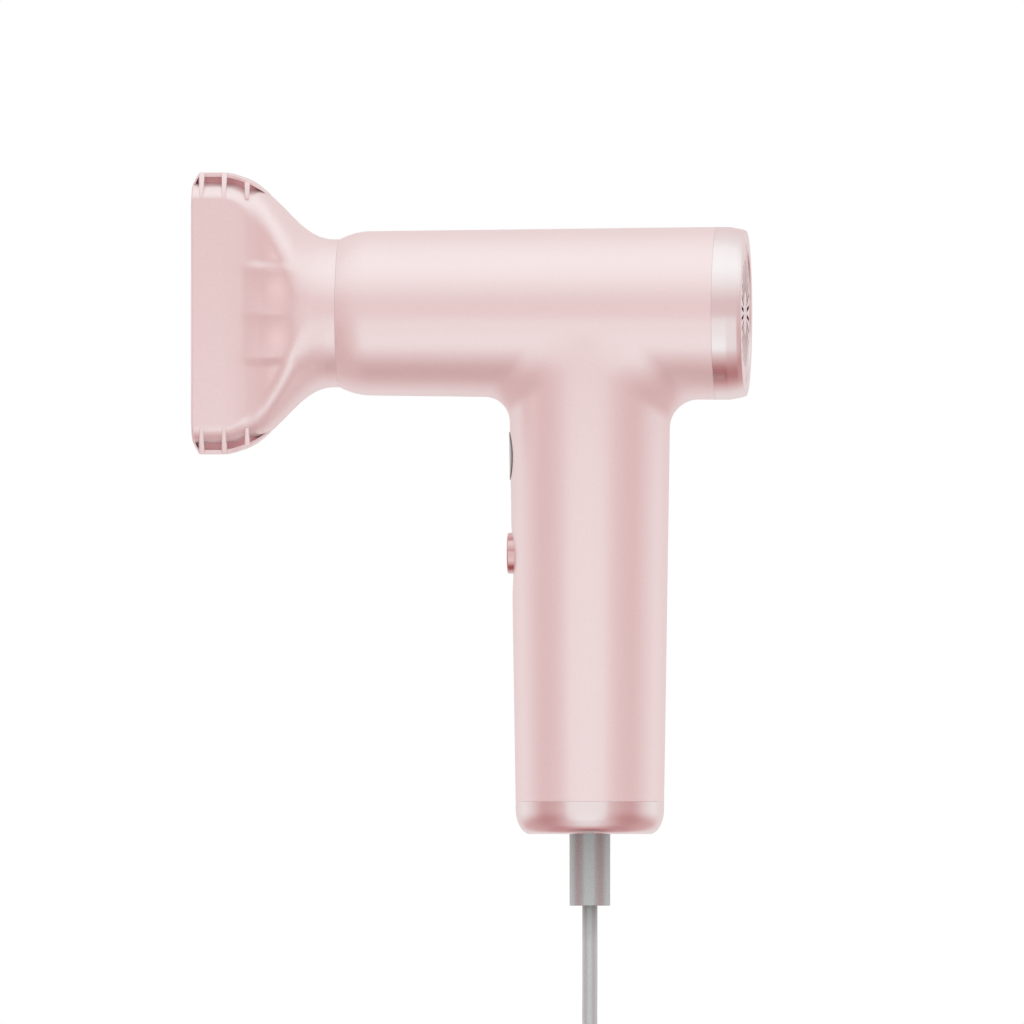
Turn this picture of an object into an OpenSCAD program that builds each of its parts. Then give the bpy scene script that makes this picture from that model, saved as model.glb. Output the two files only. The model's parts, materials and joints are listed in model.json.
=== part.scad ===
// Travel hair dryer with a round barrel, a straight round handle and a flat magnetic nozzle.
// Millimetres. Z is up, air blows toward -X and enters at +X. The origin is on the handle's axis,
// at the middle of the grip. The whole dryer is symmetrical about the plane Y = 0.

/* [Barrel] */
// Height of the barrel axis above the grip's middle
axis_z = 99; // [96:0.5:104]
// Where the barrel ends at the nozzle
barrel_front_x = -76; // [-76.4:0.1:-75.8]
// Where the barrel ends at the rear cover
barrel_rear_x = 38.6; // [38.6:0.1:39.2]
// Outer radius at the nozzle seam
neck_r = 22.4; // [22.3:0.1:22.8]
// Outer radius behind the rounded front shoulder
shoulder_r = 24.9; // [24.6:0.1:25.2]
// Outer radius at the rear seam
barrel_rear_r = 26.2; // [26:0.1:26.8]
// Thickness of the housing's wall
wall = 1.8; // [1.6:0.1:1.9]

/* [Handle] */
// Radius of the handle near the barrel
handle_top_r = 24.2; // [24:0.1:24.4]
// Radius of the handle at the bottom seam
handle_bottom_r = 22.5; // [22.4:0.1:22.8]
// Height of the bottom seam
handle_bottom_z = -48.9; // [-52:0.1:-48.5]
// Height of the bottom cap
cap_height = 9.9; // [9:0.1:11]
// Corner radius of the bottom cap
cap_corner_r = 3; // [2:0.5:4]
// Radius of the wide arc that bows the bottom cap's side in
cap_side_r = 12; // [10:0.5:20]

/* [Nozzle] */
// Full thickness of the flat mouth
mouth_thickness = 25; // [23:0.5:26]
// Width of the outlet slot
slot_width = 7.2; // [6:0.2:8]
// Thickness of the grip bands at the two ends of the mouth
band_thickness = 1.15; // [1:0.05:1.3]
// Thickness of the ribs under the grip bands
rib_thickness = 1.6; // [1.2:0.1:2]

/* [Rear cover] */
// Number of radial air slots in the rear grille
grille_slots = 26; // [18:1:28]
// Width of each air slot
grille_slot_width = 1.1; // [0.8:0.1:1.2]
// Outer radius of the ring of slots
grille_slot_r = 16.4; // [14:0.2:18]

/* [Buttons] */
// Diameter of the power button
power_d = 12.4; // [11:0.2:13]
// Height of the power button
power_z = 26.3; // [24:0.1:28]
// Diameter of the mode button
mode_d = 14.9; // [13:0.1:15]
// Height of the mode button
mode_z = 55.8; // [54:0.2:57]

/* [Motor] */
// Number of impeller blades
blade_count = 11; // [7:1:13]
// Number of guide vanes behind the impeller
vane_count = 9; // [7:1:11]
// Radius of the motor shaft
shaft_r = 1.5; // [1.4:0.05:1.5]

/* [Heater] */
// Number of turns of heating wire
heater_turns = 9; // [6:1:10]
// Radius of the heating wire's turns
heater_turn_r = 16.4; // [15:0.2:17]

/* [Cord] */
// Diameter of the cord
cord_d = 4.6; // [4.4:0.1:4.6]
// Outer diameter of the strain relief
relief_d = 12.4; // [11.5:0.1:13]
// Length of the strain relief outside the handle
relief_length = 21.7; // [18:0.1:24]
// Diameter of the plug's round pins
plug_pin_d = 4.8; // [4.5:0.1:4.9]
// Distance between the plug's pins
plug_pin_pitch = 19; // [18.5:0.1:19.5]

/* [Hidden] */

$fn = 72;

shell_colour = [0.91, 0.81, 0.81];
metal_colour = [0.86, 0.72, 0.72];
dark_colour = [0.2, 0.2, 0.22];
steel_colour = [0.72, 0.73, 0.75];
brass_colour = [0.82, 0.66, 0.35];
board_colour = [0.1, 0.36, 0.24];
mica_colour = [0.78, 0.7, 0.55];
cord_colour = [0.72, 0.72, 0.74];

// Housing: radii of the barrel and the handle
shoulder_x = -66.5;
function barrel_r(x) = shoulder_r
    + (barrel_rear_r - shoulder_r) * (x - shoulder_x) / (barrel_rear_x - shoulder_x);
handle_top_z = 62;
function handle_r(z) = handle_bottom_r
    + (handle_top_r - handle_bottom_r) * (z - handle_bottom_z) / (handle_top_z - handle_bottom_z);
handle_wall = 2;
cap_bottom_z = handle_bottom_z - cap_height;
cap_gap = 0.2;

// Front of the barrel: outlet ring and the magnetic seat
outlet_bore_r = 16.5;
outlet_ring_r = neck_r - wall - 0.1;
steel_inner_r = 17.5;
steel_outer_r = 19.9;
steel_thickness = 1;
grille_x = barrel_front_x + 4.5;

// Nozzle: the collar stays on the barrel's seat and the nozzle turns on it
collar_gap = 0.15;
collar_r = 20.4;
collar_length = 4.4;
running_gap = 0.05;
neck_rear_x = barrel_front_x - 0.3;
neck_length = 5.7;
neck_front_x = neck_rear_x - neck_length;
neck_front_r = neck_r + 0.65;
magnet_ring_r = 18.7;
magnet_r = 1.25;
magnet_length = 2;
magnet_count = 8;

// Nozzle sections: [distance in front of the neck, half height, half thickness, squareness]
mouth_t = mouth_thickness / 2;
mouth_h = 39.4;
shell_skin = [[0, neck_front_r, neck_front_r, 2], [2.5, 24.4, 22.9, 2.05], [5, 26.3, 22.3, 2.1],
    [8, 29.1, 21.1, 2.2], [12, 33, 19.2, 2.4], [16, 36.3, 17.4, 2.8], [20, 38, 15.2, 3.6],
    [24, 38.9, mouth_t + 0.7, 4.4], [28, 39.3, mouth_t, 5], [37.4, mouth_h, mouth_t, 5],
    [38.4, 36.9, mouth_t - 0.6, 5]];
shell_wall = 1.5;
shell_lip = 1.6;
slot_t = slot_width / 2;
duct_skin = [[0, 18.6, 18.6, 2], [4, 20.5, 17.4, 2.1], [10, 27, 14, 2.6], [16, 31.5, 10, 3.2],
    [22, 34, 7.2, 4], [28, 34.8, slot_t + 1.4, 5], [34, 34.8, slot_t + 0.2, 6],
    [38.4, 34.6, slot_t, 6]];
duct_wall = 1.2;
ring_points = 48;
// Outline of a grip band, seen from the side: [distance in front of the neck, height]
band_outline = [[37.6, 39.55], [36.2, 42.3], [35.6, 42.7], [29.2, 42.7], [26, 42.1], [22.3, 40.8],
    [20.5, 39.95], [18.6, 38.75], [16.8, 37.45], [16, 36.9]];
// Its underside, just above the shell
band_floor = [[16.9, 37], [20, 38.2], [24, 39.05], [28, 39.45]];
// Height of the band's inner face
function band_inner_z(s) = lookup(s, [[16.8, 36.4], [18.6, 37.8], [20.5, 38.9], [22.3, 39.6],
    [26, 40.9], [29.2, 42.7 - band_thickness], [36, 42.7 - band_thickness]]);
band_half_width = 9;
band_web = 13;
rib_stations = [34.4, 27.5, 20.5];
band_end = 18.8;

// Rear cover
cover_gap = 0.3;
cover_front_x = barrel_rear_x + cover_gap;
cover_rear_x = 47.6;
cover_inner_r = 24.3;
grille_plate_r = 20.8;
grille_plate_x = 45.8;
cover_magnet_ring_r = 22.4;

// Motor, from the impeller at the rear to the front bearing
duct_r = 17.6;
duct_outer_r = 19;
frame_front_x = -12;
frame_rear_x = 26;
hub_r = 12;
bearing_r = 4;
bearing_width = 4;
bearing_x = 9;
stator_half = 5.5;
shaft_front_x = -13.6;
shaft_rear_x = 26.8;
impeller_x = 15.6;
impeller_tip_r = duct_r - 0.4;
impeller_length = 9;
blade_angle = 35;

// Heater
heater_front_x = -66;
heater_rear_x = -15;
heater_tube_r = 19.2;
wire_r = 0.5;

// Buttons on the handle's front
button_gap = 0.35;
power_face_x = -24.9;
power_travel = 0.8;
switch_gap = 0.9;
board_x = -11;
board_thickness = 1.6;
switch_face_x = -17;

// Cord route: straight down from the strain relief, then a gentle bend onto the coil
cord_r = cord_d / 2;
relief_end_z = cap_bottom_z - relief_length;
coil_centre = [-4, 0, -184];
coil_outer_r = 32.3;
coil_inner_r = 16.2;
coil_half_width = 9.2;
cord_start_z = -34;
lead_route = [[0, 0, cord_start_z], [0, 0, -48], [0, 0, -62], [0, 0, -76], [0, 0, -90], [0, 0, -104],
    [0, 0, -118], [0.7, -0.2, -126.5], [3, -0.8, -134.5], [6.6, -1.8, -142.5], [13, -3.5, -151],
    [19.4, -5.1, -159.5], [23, -6.1, -167.5], [24.6, -6.6, -172]];
tail_route = [[26, 6.9, -196], [26, 6.9, -203], [26, 6.9, -210]];
plug_centre = [26, 6.9];
plug_top_z = -210;
plug_face_z = -243;
plug_pin_length = 19;
shank_length = 10;
shank_r = 1.9;
tie_width = 10;
tie_thickness = 1.4;

// ---------------------------------------------------------------- helpers

// Turns what is drawn around +Z into the same shape around the barrel axis, with +Z along +X
module on_barrel(x = 0) {
    translate([x, 0, axis_z]) rotate([0, 90, 0]) children();
}

// A turned ring on the barrel axis, from x1 to x2
module barrel_ring(x1, x2, r_in, r_out) {
    on_barrel(x1) difference() {
        cylinder(h = x2 - x1, r = r_out);
        translate([0, 0, -1]) cylinder(h = x2 - x1 + 2, r = r_in);
    }
}

// Copies spread evenly around the barrel axis
module around_barrel(count, start = 0) {
    for (i = [0:count - 1])
        translate([0, 0, axis_z]) rotate([start + i * 360 / count, 0, 0]) children();
}

// A cylinder along +X from a point on the handle's front
module along_x(x1, x2, r, z) {
    translate([x1, 0, z]) rotate([0, 90, 0]) cylinder(h = x2 - x1, r = r);
}

// A closed section between a circle (squareness 2) and a rounded rectangle
function section_point(a, h, t, n) =
    [t * sign(cos(a)) * pow(abs(cos(a)), 2 / n), h * sign(sin(a)) * pow(abs(sin(a)), 2 / n)];
function section(x, h, t, n) =
    [for (i = [0:ring_points - 1])
        let (p = section_point(i * 360 / ring_points, h, t, n)) [x, p[0], axis_z + p[1]]];

// Skin sections, moved outward by grow, as rings of points in front of the neck
function skin_rings(skin, grow = 0) =
    [for (s = skin) section(neck_front_x - s[0], s[1] + grow, s[2] + grow, s[3])];
function reversed(list) = [for (i = [len(list) - 1:-1:0]) list[i]];

// A closed tube wall: the rings run out along one skin and back along the other
module ring_wall(rings) {
    n = ring_points;
    m = len(rings);
    points = [for (r = rings) each r];
    faces = [for (j = [0:m - 1], i = [0:n - 1])
        let (a = j * n + i, b = j * n + (i + 1) % n,
             c = ((j + 1) % m) * n + (i + 1) % n, d = ((j + 1) % m) * n + i)
        each [[a, b, c], [a, c, d]]];
    polyhedron(points = points, faces = faces);
}

// Unit vector along a route at point i
function unit(v) = v / norm(v);
function heading(route, i) =
    unit(route[min(i + 1, len(route) - 1)] - route[max(i - 1, 0)]);

// A plain tube of a given radius that follows a route, which never runs along Y
module route_tube(route, r, sides = 10) {
    points = [for (i = [0:len(route) - 1])
        let (t = heading(route, i), u = unit(cross([0, 1, 0], t)), v = cross(t, u))
        for (k = [0:sides - 1])
            route[i] + r * cos(k * 360 / sides) * u + r * sin(k * 360 / sides) * v];
    last = (len(route) - 1) * sides;
    sides_faces = [for (i = [0:len(route) - 2], k = [0:sides - 1])
        let (a = i * sides + k, b = i * sides + (k + 1) % sides)
        each [[a, a + sides, b], [b, a + sides, b + sides]]];
    ends = [[for (k = [0:sides - 1]) k], [for (k = [sides - 1:-1:0]) last + k]];
    polyhedron(points = points, faces = concat(sides_faces, ends));
}

// A pan head screw that points along +Z, with its head's underside at the origin
module screw(length, r = 1.2, head_r = 2.2, head_h = 1.4) {
    cylinder(h = length, r = r);
    translate([0, 0, -head_h]) difference() {
        cylinder(h = head_h, r = head_r);
        translate([0, 0, -1]) cylinder(h = 1.7, r = 1, $fn = 6);
    }
}

// ---------------------------------------------------------------- housing

// Solid of the barrel, shrunk by inset, with its front end rounded down to the neck
module barrel_solid(inset) {
    reach = inset > 0 ? 1 : 0;
    drop = shoulder_r - neck_r;
    front = [for (t = [0:0.2:1])
        [shoulder_r - inset - drop * (1 - t) * (1 - t),
            barrel_front_x + t * (shoulder_x - barrel_front_x)]];
    on_barrel() rotate([0, 0, 180]) rotate_extrude() polygon(concat(
        [[0, barrel_front_x - reach], [neck_r - inset, barrel_front_x - reach]],
        inset > 0 ? front : [for (i = [1:5]) front[i]],
        [[barrel_rear_r - inset, barrel_rear_x + reach], [0, barrel_rear_x + reach]]));
}

// Solid of the handle up to the barrel, shrunk by inset
module handle_solid(inset, z1, z2) {
    translate([0, 0, z1]) rotate([0, 0, 90])
        cylinder(h = z2 - z1, r1 = handle_r(z1) - inset, r2 = handle_r(z2) - inset);
}

module housing() {
    flat_depth = 0.45;
    flat_width = 20;
    color(shell_colour) difference() {
        union() {
            barrel_solid(0);
            handle_solid(0, handle_bottom_z, axis_z - 6);
        }
        handle_solid(handle_wall, handle_bottom_z - 1, axis_z - 6.5);
        barrel_solid(wall);
        // Shallow flat in the handle's front, around and below the power button
        along_x(-30, flat_depth - handle_r(power_z), flat_width / 2, power_z - 2);
        along_x(-30, -15, power_d / 2 + button_gap, power_z);
        along_x(-30, -15, mode_d / 2 + button_gap, mode_z);
    }
}

module outlet_ring() {
    rear_x = heater_front_x + 3;
    color(dark_colour) difference() {
        barrel_ring(barrel_front_x, rear_x, outlet_bore_r, outlet_ring_r);
        barrel_ring(barrel_front_x - 1, barrel_front_x + steel_thickness, steel_inner_r, steel_outer_r);
        barrel_ring(heater_front_x, rear_x + 1, outlet_bore_r - 1, heater_tube_r + 0.7);
        barrel_ring(grille_x, grille_x + 1.6, outlet_bore_r - 1, outlet_bore_r + 0.6);
    }
}

module front_steel_ring() {
    color(steel_colour)
        barrel_ring(barrel_front_x, barrel_front_x + steel_thickness - 0.05, steel_inner_r + 0.05,
            steel_outer_r - 0.05);
}

module outlet_grille() {
    thickness = 1.5;
    rim_r = outlet_bore_r + 0.5;
    color(dark_colour) {
        barrel_ring(grille_x, grille_x + thickness, rim_r - 1.2, rim_r);
        barrel_ring(grille_x, grille_x + thickness, 10.2, 11.2);
        barrel_ring(grille_x, grille_x + thickness, 2.2, 5.4);
        around_barrel(6) translate([grille_x, -0.5, 4.8]) cube([thickness, 1, rim_r - 5.4]);
    }
}

module ion_needle() {
    color(steel_colour) {
        on_barrel(grille_x) cylinder(h = 6, r = 0.8);
        on_barrel(grille_x - 2.5) cylinder(h = 2.5, r1 = 0.1, r2 = 0.8);
        on_barrel(grille_x + 0.1) cylinder(h = 1.3, r = 2.15);
    }
}

// ---------------------------------------------------------------- nozzle

module nozzle_collar() {
    rear_x = barrel_front_x - collar_gap;
    front_x = rear_x - collar_length;
    spigot_length = 3;
    color(dark_colour) difference() {
        union() {
            barrel_ring(front_x, rear_x, 16.9, collar_r);
            barrel_ring(rear_x - 1.5, rear_x + spigot_length, 15.4, outlet_bore_r - 0.2);
            barrel_ring(rear_x - 1.5, rear_x, 15.4, 17);
        }
        around_barrel(magnet_count)
            translate([rear_x - magnet_length, 0, magnet_ring_r]) rotate([0, 90, 0])
                cylinder(h = magnet_length + 1, r = magnet_r + 0.02);
    }
}

module nozzle_magnets() {
    color(steel_colour) around_barrel(magnet_count)
        translate([barrel_front_x - collar_gap - magnet_length, 0, magnet_ring_r]) rotate([0, 90, 0])
            cylinder(h = magnet_length, r = magnet_r);
}

module nozzle_neck() {
    bore_r = collar_r + running_gap;
    bore_length = collar_length + collar_gap + 0.15;
    color(shell_colour) on_barrel() rotate_extrude() polygon([
        [bore_r, neck_rear_x], [neck_r, neck_rear_x], [neck_r, neck_rear_x - 2.2],
        [neck_r + 0.2, neck_rear_x - 3.7], [neck_front_r, neck_front_x], [18.6, neck_front_x],
        [18.6, neck_rear_x - bore_length + 0.3], [bore_r, neck_rear_x - bore_length + 0.3]]);
}

module nozzle_shell() {
    tip = shell_skin[len(shell_skin) - 1][0];
    lip = tip - shell_lip;
    opening_h = duct_skin[len(duct_skin) - 1][1] + duct_wall + 0.5;
    opening_t = slot_t + duct_wall + 0.3;
    aperture = [[tip, opening_h, opening_t, 6], [lip, opening_h, opening_t, 6]];
    inner = [for (s = shell_skin) if (s[0] < lip) s];
    front = [[lip, mouth_h, mouth_t, 5]];
    color(shell_colour) ring_wall(concat(skin_rings(shell_skin), skin_rings(aperture),
        skin_rings(front, -shell_wall), reversed(skin_rings(inner, -shell_wall))));
}

module nozzle_duct() {
    color(shell_colour)
        ring_wall(concat(skin_rings(duct_skin, duct_wall), reversed(skin_rings(duct_skin))));
}

// An outline of [distance in front of the neck, height above the axis], extruded across Y
module nozzle_slice(points, y1, y2) {
    translate([neck_front_x, y2, axis_z]) rotate([90, 0, 0]) mirror([1, 0, 0])
        linear_extrude(height = y2 - y1) polygon(points);
}

// The grip band at one end of the mouth, with ribs between its open pockets and a middle web
module grip_band() {
    last = len(rib_stations) - 1;
    pockets = [for (i = [0:last])
        let (s2 = rib_stations[i], s1 = i < last ? rib_stations[i + 1] + rib_thickness : band_end,
             middle = (s1 + s2) / 2, under = i < last ? 38 : 37)
        [[s2, under], [s2, band_inner_z(s2)], [middle, band_inner_z(middle)],
            [s1, band_inner_z(s1)], [s1, under]]];
    difference() {
        nozzle_slice(concat(band_outline, band_floor), -band_half_width, band_half_width);
        for (pocket = pockets) {
            nozzle_slice(pocket, band_web / 2, band_half_width + 1);
            nozzle_slice(pocket, -band_half_width - 1, -band_web / 2);
        }
    }
}

module nozzle_grip_bands() {
    color(shell_colour) {
        grip_band();
        translate([0, 0, 2 * axis_z]) mirror([0, 0, 1]) grip_band();
    }
}

// ---------------------------------------------------------------- rear cover

module inlet_steel_ring() {
    color(steel_colour)
        barrel_ring(barrel_rear_x - 2, barrel_rear_x - 0.1, 20.6, barrel_rear_r - wall - 0.15);
}

module inlet_bell() {
    r_out = barrel_rear_r - wall - 0.15;
    x1 = frame_rear_x + 0.1;
    x2 = barrel_rear_x - 2.1;
    color(dark_colour) on_barrel() rotate_extrude() polygon([
        [duct_r + 0.2, x1], [19.4, x1], [21.4, x2 - 5], [r_out - 0.4, x2 - 2], [r_out - 0.1, x2],
        [20.8, x2], [19, x2 - 4]]);
}

module rear_cover() {
    color(metal_colour) difference() {
        on_barrel() rotate_extrude() polygon([
            [cover_inner_r, cover_front_x], [barrel_rear_r, cover_front_x],
            [barrel_rear_r, 42.4], [26.05, 43.2], [25.85, 44.4], [25.6, 45.7], [25.25, 47],
            [25.05, 47.4], [24.8, cover_rear_x], [grille_plate_r + 0.1, cover_rear_x],
            [grille_plate_r + 0.1, 43.2], [20.4, 43.2], [20.4, 41.2], [cover_inner_r, 41.2]]);
        around_barrel(4, 45)
            translate([cover_front_x + 0.2, 0, cover_magnet_ring_r]) rotate([0, 90, 0])
                cylinder(h = 3.4, r = 1.52);
    }
}

module rear_grille() {
    thickness = 1.4;
    slot_in_r = 6.6;
    color(metal_colour) difference() {
        on_barrel(grille_plate_x) cylinder(h = thickness, r = grille_plate_r);
        around_barrel(grille_slots)
            translate([grille_plate_x - 1, -grille_slot_width / 2, slot_in_r])
                cube([thickness + 2, grille_slot_width, grille_slot_r - slot_in_r]);
    }
}

module dust_filter() {
    x = 43.4;
    thickness = 0.6;
    color(dark_colour) {
        barrel_ring(x, x + 1.6, 19.3, 20.6);
        for (r = [4:3:16]) barrel_ring(x, x + thickness, r, r + 0.6);
        around_barrel(12) translate([x, -0.3, 4.2]) cube([thickness, 0.6, 15.4]);
    }
}

module cover_magnets() {
    color(steel_colour) around_barrel(4, 45)
        translate([cover_front_x + 2.5, 0, cover_magnet_ring_r]) rotate([0, 90, 0])
            cylinder(h = 1, r = 1.5);
}

// ---------------------------------------------------------------- motor and heater

module motor_frame() {
    color(dark_colour) {
        barrel_ring(frame_front_x, frame_rear_x, duct_r, duct_outer_r);
        barrel_ring(-bearing_x - 1, bearing_x + 1, hub_r - 1.6, hub_r);
        difference() {
            around_barrel(vane_count)
                translate([-7, -0.6, hub_r - 0.8]) cube([14, 1.2, duct_r - hub_r + 1.6]);
            barrel_ring(-8, 8, duct_outer_r - 0.4, duct_outer_r + 3);
        }
        // Bearing carriers at the two ends of the hub, each with a shoulder for the bearing
        for (side = [-1, 1]) mirror([side < 0 ? 1 : 0, 0, 0]) translate([bearing_x, 0, 0]) {
            barrel_ring(0, bearing_width, bearing_r + 0.03, bearing_r + 1.4);
            barrel_ring(-1.2, 0, bearing_r - 1, hub_r - 0.8);
        }
    }
}

module motor_stator() {
    color(steel_colour) {
        barrel_ring(-stator_half, stator_half, 8.6, hub_r - 1.65);
        difference() {
            around_barrel(4) translate([-stator_half, -2, 4.8]) cube([2 * stator_half, 4, 4.2]);
            barrel_ring(-stator_half - 1, stator_half + 1, 1, 5);
        }
    }
}

module motor_windings() {
    color([0.75, 0.42, 0.22]) around_barrel(4) difference() {
        translate([-stator_half - 1.2, -3.1, 5.9]) cube([2 * stator_half + 2.4, 6.2, 1.9]);
        translate([-stator_half - 0.05, -2.05, 5]) cube([2 * stator_half + 0.1, 4.1, 4]);
    }
}

module motor_bearings() {
    color(steel_colour) for (side = [-1, 1])
        mirror([side < 0 ? 1 : 0, 0, 0]) translate([bearing_x, 0, 0])
            barrel_ring(0.02, bearing_width - 0.02, shaft_r + 0.03, bearing_r);
}

module motor_shaft() {
    color(steel_colour)
        on_barrel(shaft_front_x) cylinder(h = shaft_rear_x - shaft_front_x, r = shaft_r);
}

module rotor_magnet() {
    color([0.35, 0.36, 0.38]) barrel_ring(-stator_half, stator_half, shaft_r, 4.4);
}

module impeller() {
    color([0.86, 0.87, 0.88]) intersection() {
        difference() {
            union() {
                on_barrel(impeller_x) cylinder(h = impeller_length, r1 = hub_r - 0.2, r2 = 6);
                around_barrel(blade_count)
                    translate([impeller_x + impeller_length / 2, 0, 4]) rotate([0, 0, blade_angle])
                        translate([-9, -0.4, 0]) cube([18, 0.8, impeller_tip_r - 3]);
            }
            on_barrel(impeller_x - 20) cylinder(h = 60, r = shaft_r);
            on_barrel(impeller_x - 20) cylinder(h = 20, r = 30);
            on_barrel(impeller_x + impeller_length) cylinder(h = 20, r = 30);
        }
        on_barrel(impeller_x - 5) cylinder(h = 30, r = impeller_tip_r);
    }
}

module impeller_nut() {
    color(brass_colour) on_barrel(impeller_x + impeller_length) difference() {
        cylinder(h = 1.8, r = 3, $fn = 6);
        translate([0, 0, -1]) cylinder(h = 4, r = shaft_r);
    }
}

module motor_mounts() {
    color(dark_colour) for (x = [-7, 18])
        barrel_ring(x, x + 6, duct_outer_r + 0.05, barrel_r(x) - wall - 0.1);
}

module heater_tube() {
    color(mica_colour)
        barrel_ring(heater_front_x, heater_rear_x, heater_tube_r, heater_tube_r + 0.6);
}

// Spacing of the heating wire's turns along the barrel
turn_first_x = heater_front_x + 6;
turn_pitch = (heater_rear_x - heater_front_x - 12) / (heater_turns - 1);

module heater_frame() {
    x1 = heater_front_x + 0.5;
    length = heater_rear_x - heater_front_x - 1;
    notch = 2 * wire_r + 0.4;
    color(mica_colour) difference() {
        for (a = [0, 90]) translate([x1, 0, axis_z]) rotate([a, 0, 0])
            translate([0, -0.4, -heater_tube_r + 0.1]) cube([length, 0.8, 2 * heater_tube_r - 0.2]);
        for (i = [0:heater_turns - 1]) around_barrel(4)
            translate([turn_first_x + i * turn_pitch - notch / 2, -1, heater_turn_r - wire_r - 0.1])
                cube([notch, 2, 4]);
    }
}

module heater_wire() {
    color(brass_colour) for (i = [0:heater_turns - 1])
        on_barrel(turn_first_x + i * turn_pitch) rotate_extrude()
            translate([heater_turn_r, 0]) circle(r = wire_r, $fn = 16);
}

module thermostat() {
    color(steel_colour) translate([-42, 1, axis_z + 5]) cube([12, 4, 6]);
}

module thermal_fuse() {
    color(brass_colour) translate([-30, -2.6, axis_z + 6]) rotate([0, 90, 0])
        cylinder(h = 10, r = 1.7);
}

// ---------------------------------------------------------------- handle

module power_button() {
    stem_x = switch_face_x - switch_gap;
    color(metal_colour) {
        along_x(power_face_x, -20, power_d / 2, power_z);
        along_x(-20, -19.1, power_d / 2 + 1.2, power_z);
        along_x(-19.1, stem_x, 1.5, power_z);
    }
}

module mode_button() {
    stem_x = switch_face_x - switch_gap;
    color([0.75, 0.75, 0.77]) {
        intersection() {
            along_x(-30, -20.4, mode_d / 2, mode_z);
            translate([0, 0, mode_z - 10])
                cylinder(h = 20, r1 = handle_r(mode_z - 10) + 0.3, r2 = handle_r(mode_z + 10) + 0.3);
        }
        along_x(-20.4, -18.8, mode_d / 2 - 0.8, mode_z);
        along_x(-18.8, stem_x, 1.5, mode_z);
    }
}

// A small push switch on the board behind a button
module push_switch(z) {
    translate([board_x - 3.5, -3, z - 3]) cube([3.5, 6, 6]);
    along_x(switch_face_x, board_x - 3.5, 1.6, z);
}

module power_switch() {
    color(dark_colour) push_switch(power_z);
}

module mode_switch() {
    color(dark_colour) push_switch(mode_z);
}

board_bottom_z = -18;
board_top_z = 64;

module main_board() {
    color(board_colour) difference() {
        translate([board_x, -15, board_bottom_z])
            cube([board_thickness, 30, board_top_z - board_bottom_z]);
        for (side = [-1, 1], z = [board_bottom_z + 4, board_top_z - 4])
            translate([board_x - 1, side * 12.6, z]) rotate([0, 90, 0]) cylinder(h = 4, r = 1.3);
    }
}

board_back_x = board_x + board_thickness;

module triac() {
    color(dark_colour) translate([board_back_x, 1, -8]) cube([4.6, 10, 15]);
}

module heatsink() {
    color(steel_colour) {
        translate([board_back_x + 4.65, 0, -8]) cube([1.6, 12, 24]);
        for (y = [0, 3.5, 7, 10.6]) translate([board_back_x + 5.6, y, -8]) cube([6, 1.4, 24]);
    }
}

module capacitors() {
    color([0.16, 0.2, 0.42]) for (z = [24, 38])
        translate([board_back_x, -6, z]) rotate([0, 90, 0]) cylinder(h = 15, r = 5);
}

module choke() {
    color(brass_colour) translate([board_back_x + 3, 5.8, 31]) rotate([0, 90, 0])
        rotate_extrude() translate([4.2, 0]) circle(r = 2, $fn = 24);
}

module ion_module() {
    color(dark_colour) translate([board_back_x, -12.3, -6]) cube([10, 11, 22]);
}

// Frame that slides up into the handle and carries the board and the cord clamp
chassis_r = 20;
chassis_floor_z = -40;

module handle_chassis() {
    color(dark_colour) difference() {
        union() {
            translate([0, 0, chassis_floor_z]) cylinder(h = 3, r = chassis_r);
            for (side = [-1, 1]) {
                translate([board_x + 1.7, side * 14 - 1.5, chassis_floor_z])
                    cube([8, 3, board_top_z - chassis_floor_z]);
                translate([2, side * 11 - 3, chassis_floor_z - 8.8]) cube([6, 6, 9.8]);
            }
        }
        translate([0, 0, chassis_floor_z - 1]) cylinder(h = 5, r = cord_r + 0.3);
        for (side = [-1, 1]) {
            translate([5, side * 11, chassis_floor_z - 9]) cylinder(h = 8, r = 1.25);
            translate([0, side * 7, chassis_floor_z - 1]) cylinder(h = 5, r = 1.25);
            for (z = [board_bottom_z + 4, board_top_z - 4])
                translate([board_x, side * 12.6, z]) rotate([0, 90, 0]) cylinder(h = 7, r = 1.25);
        }
        for (side = [-1, 1]) translate([7, side * 11 - 1, -4]) cube([3, 2, 20]);
    }
}

module board_screws() {
    color(steel_colour) for (side = [-1, 1], z = [board_bottom_z + 4, board_top_z - 4])
        translate([board_x, side * 12.6, z]) rotate([0, 90, 0]) screw(6);
}

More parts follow.
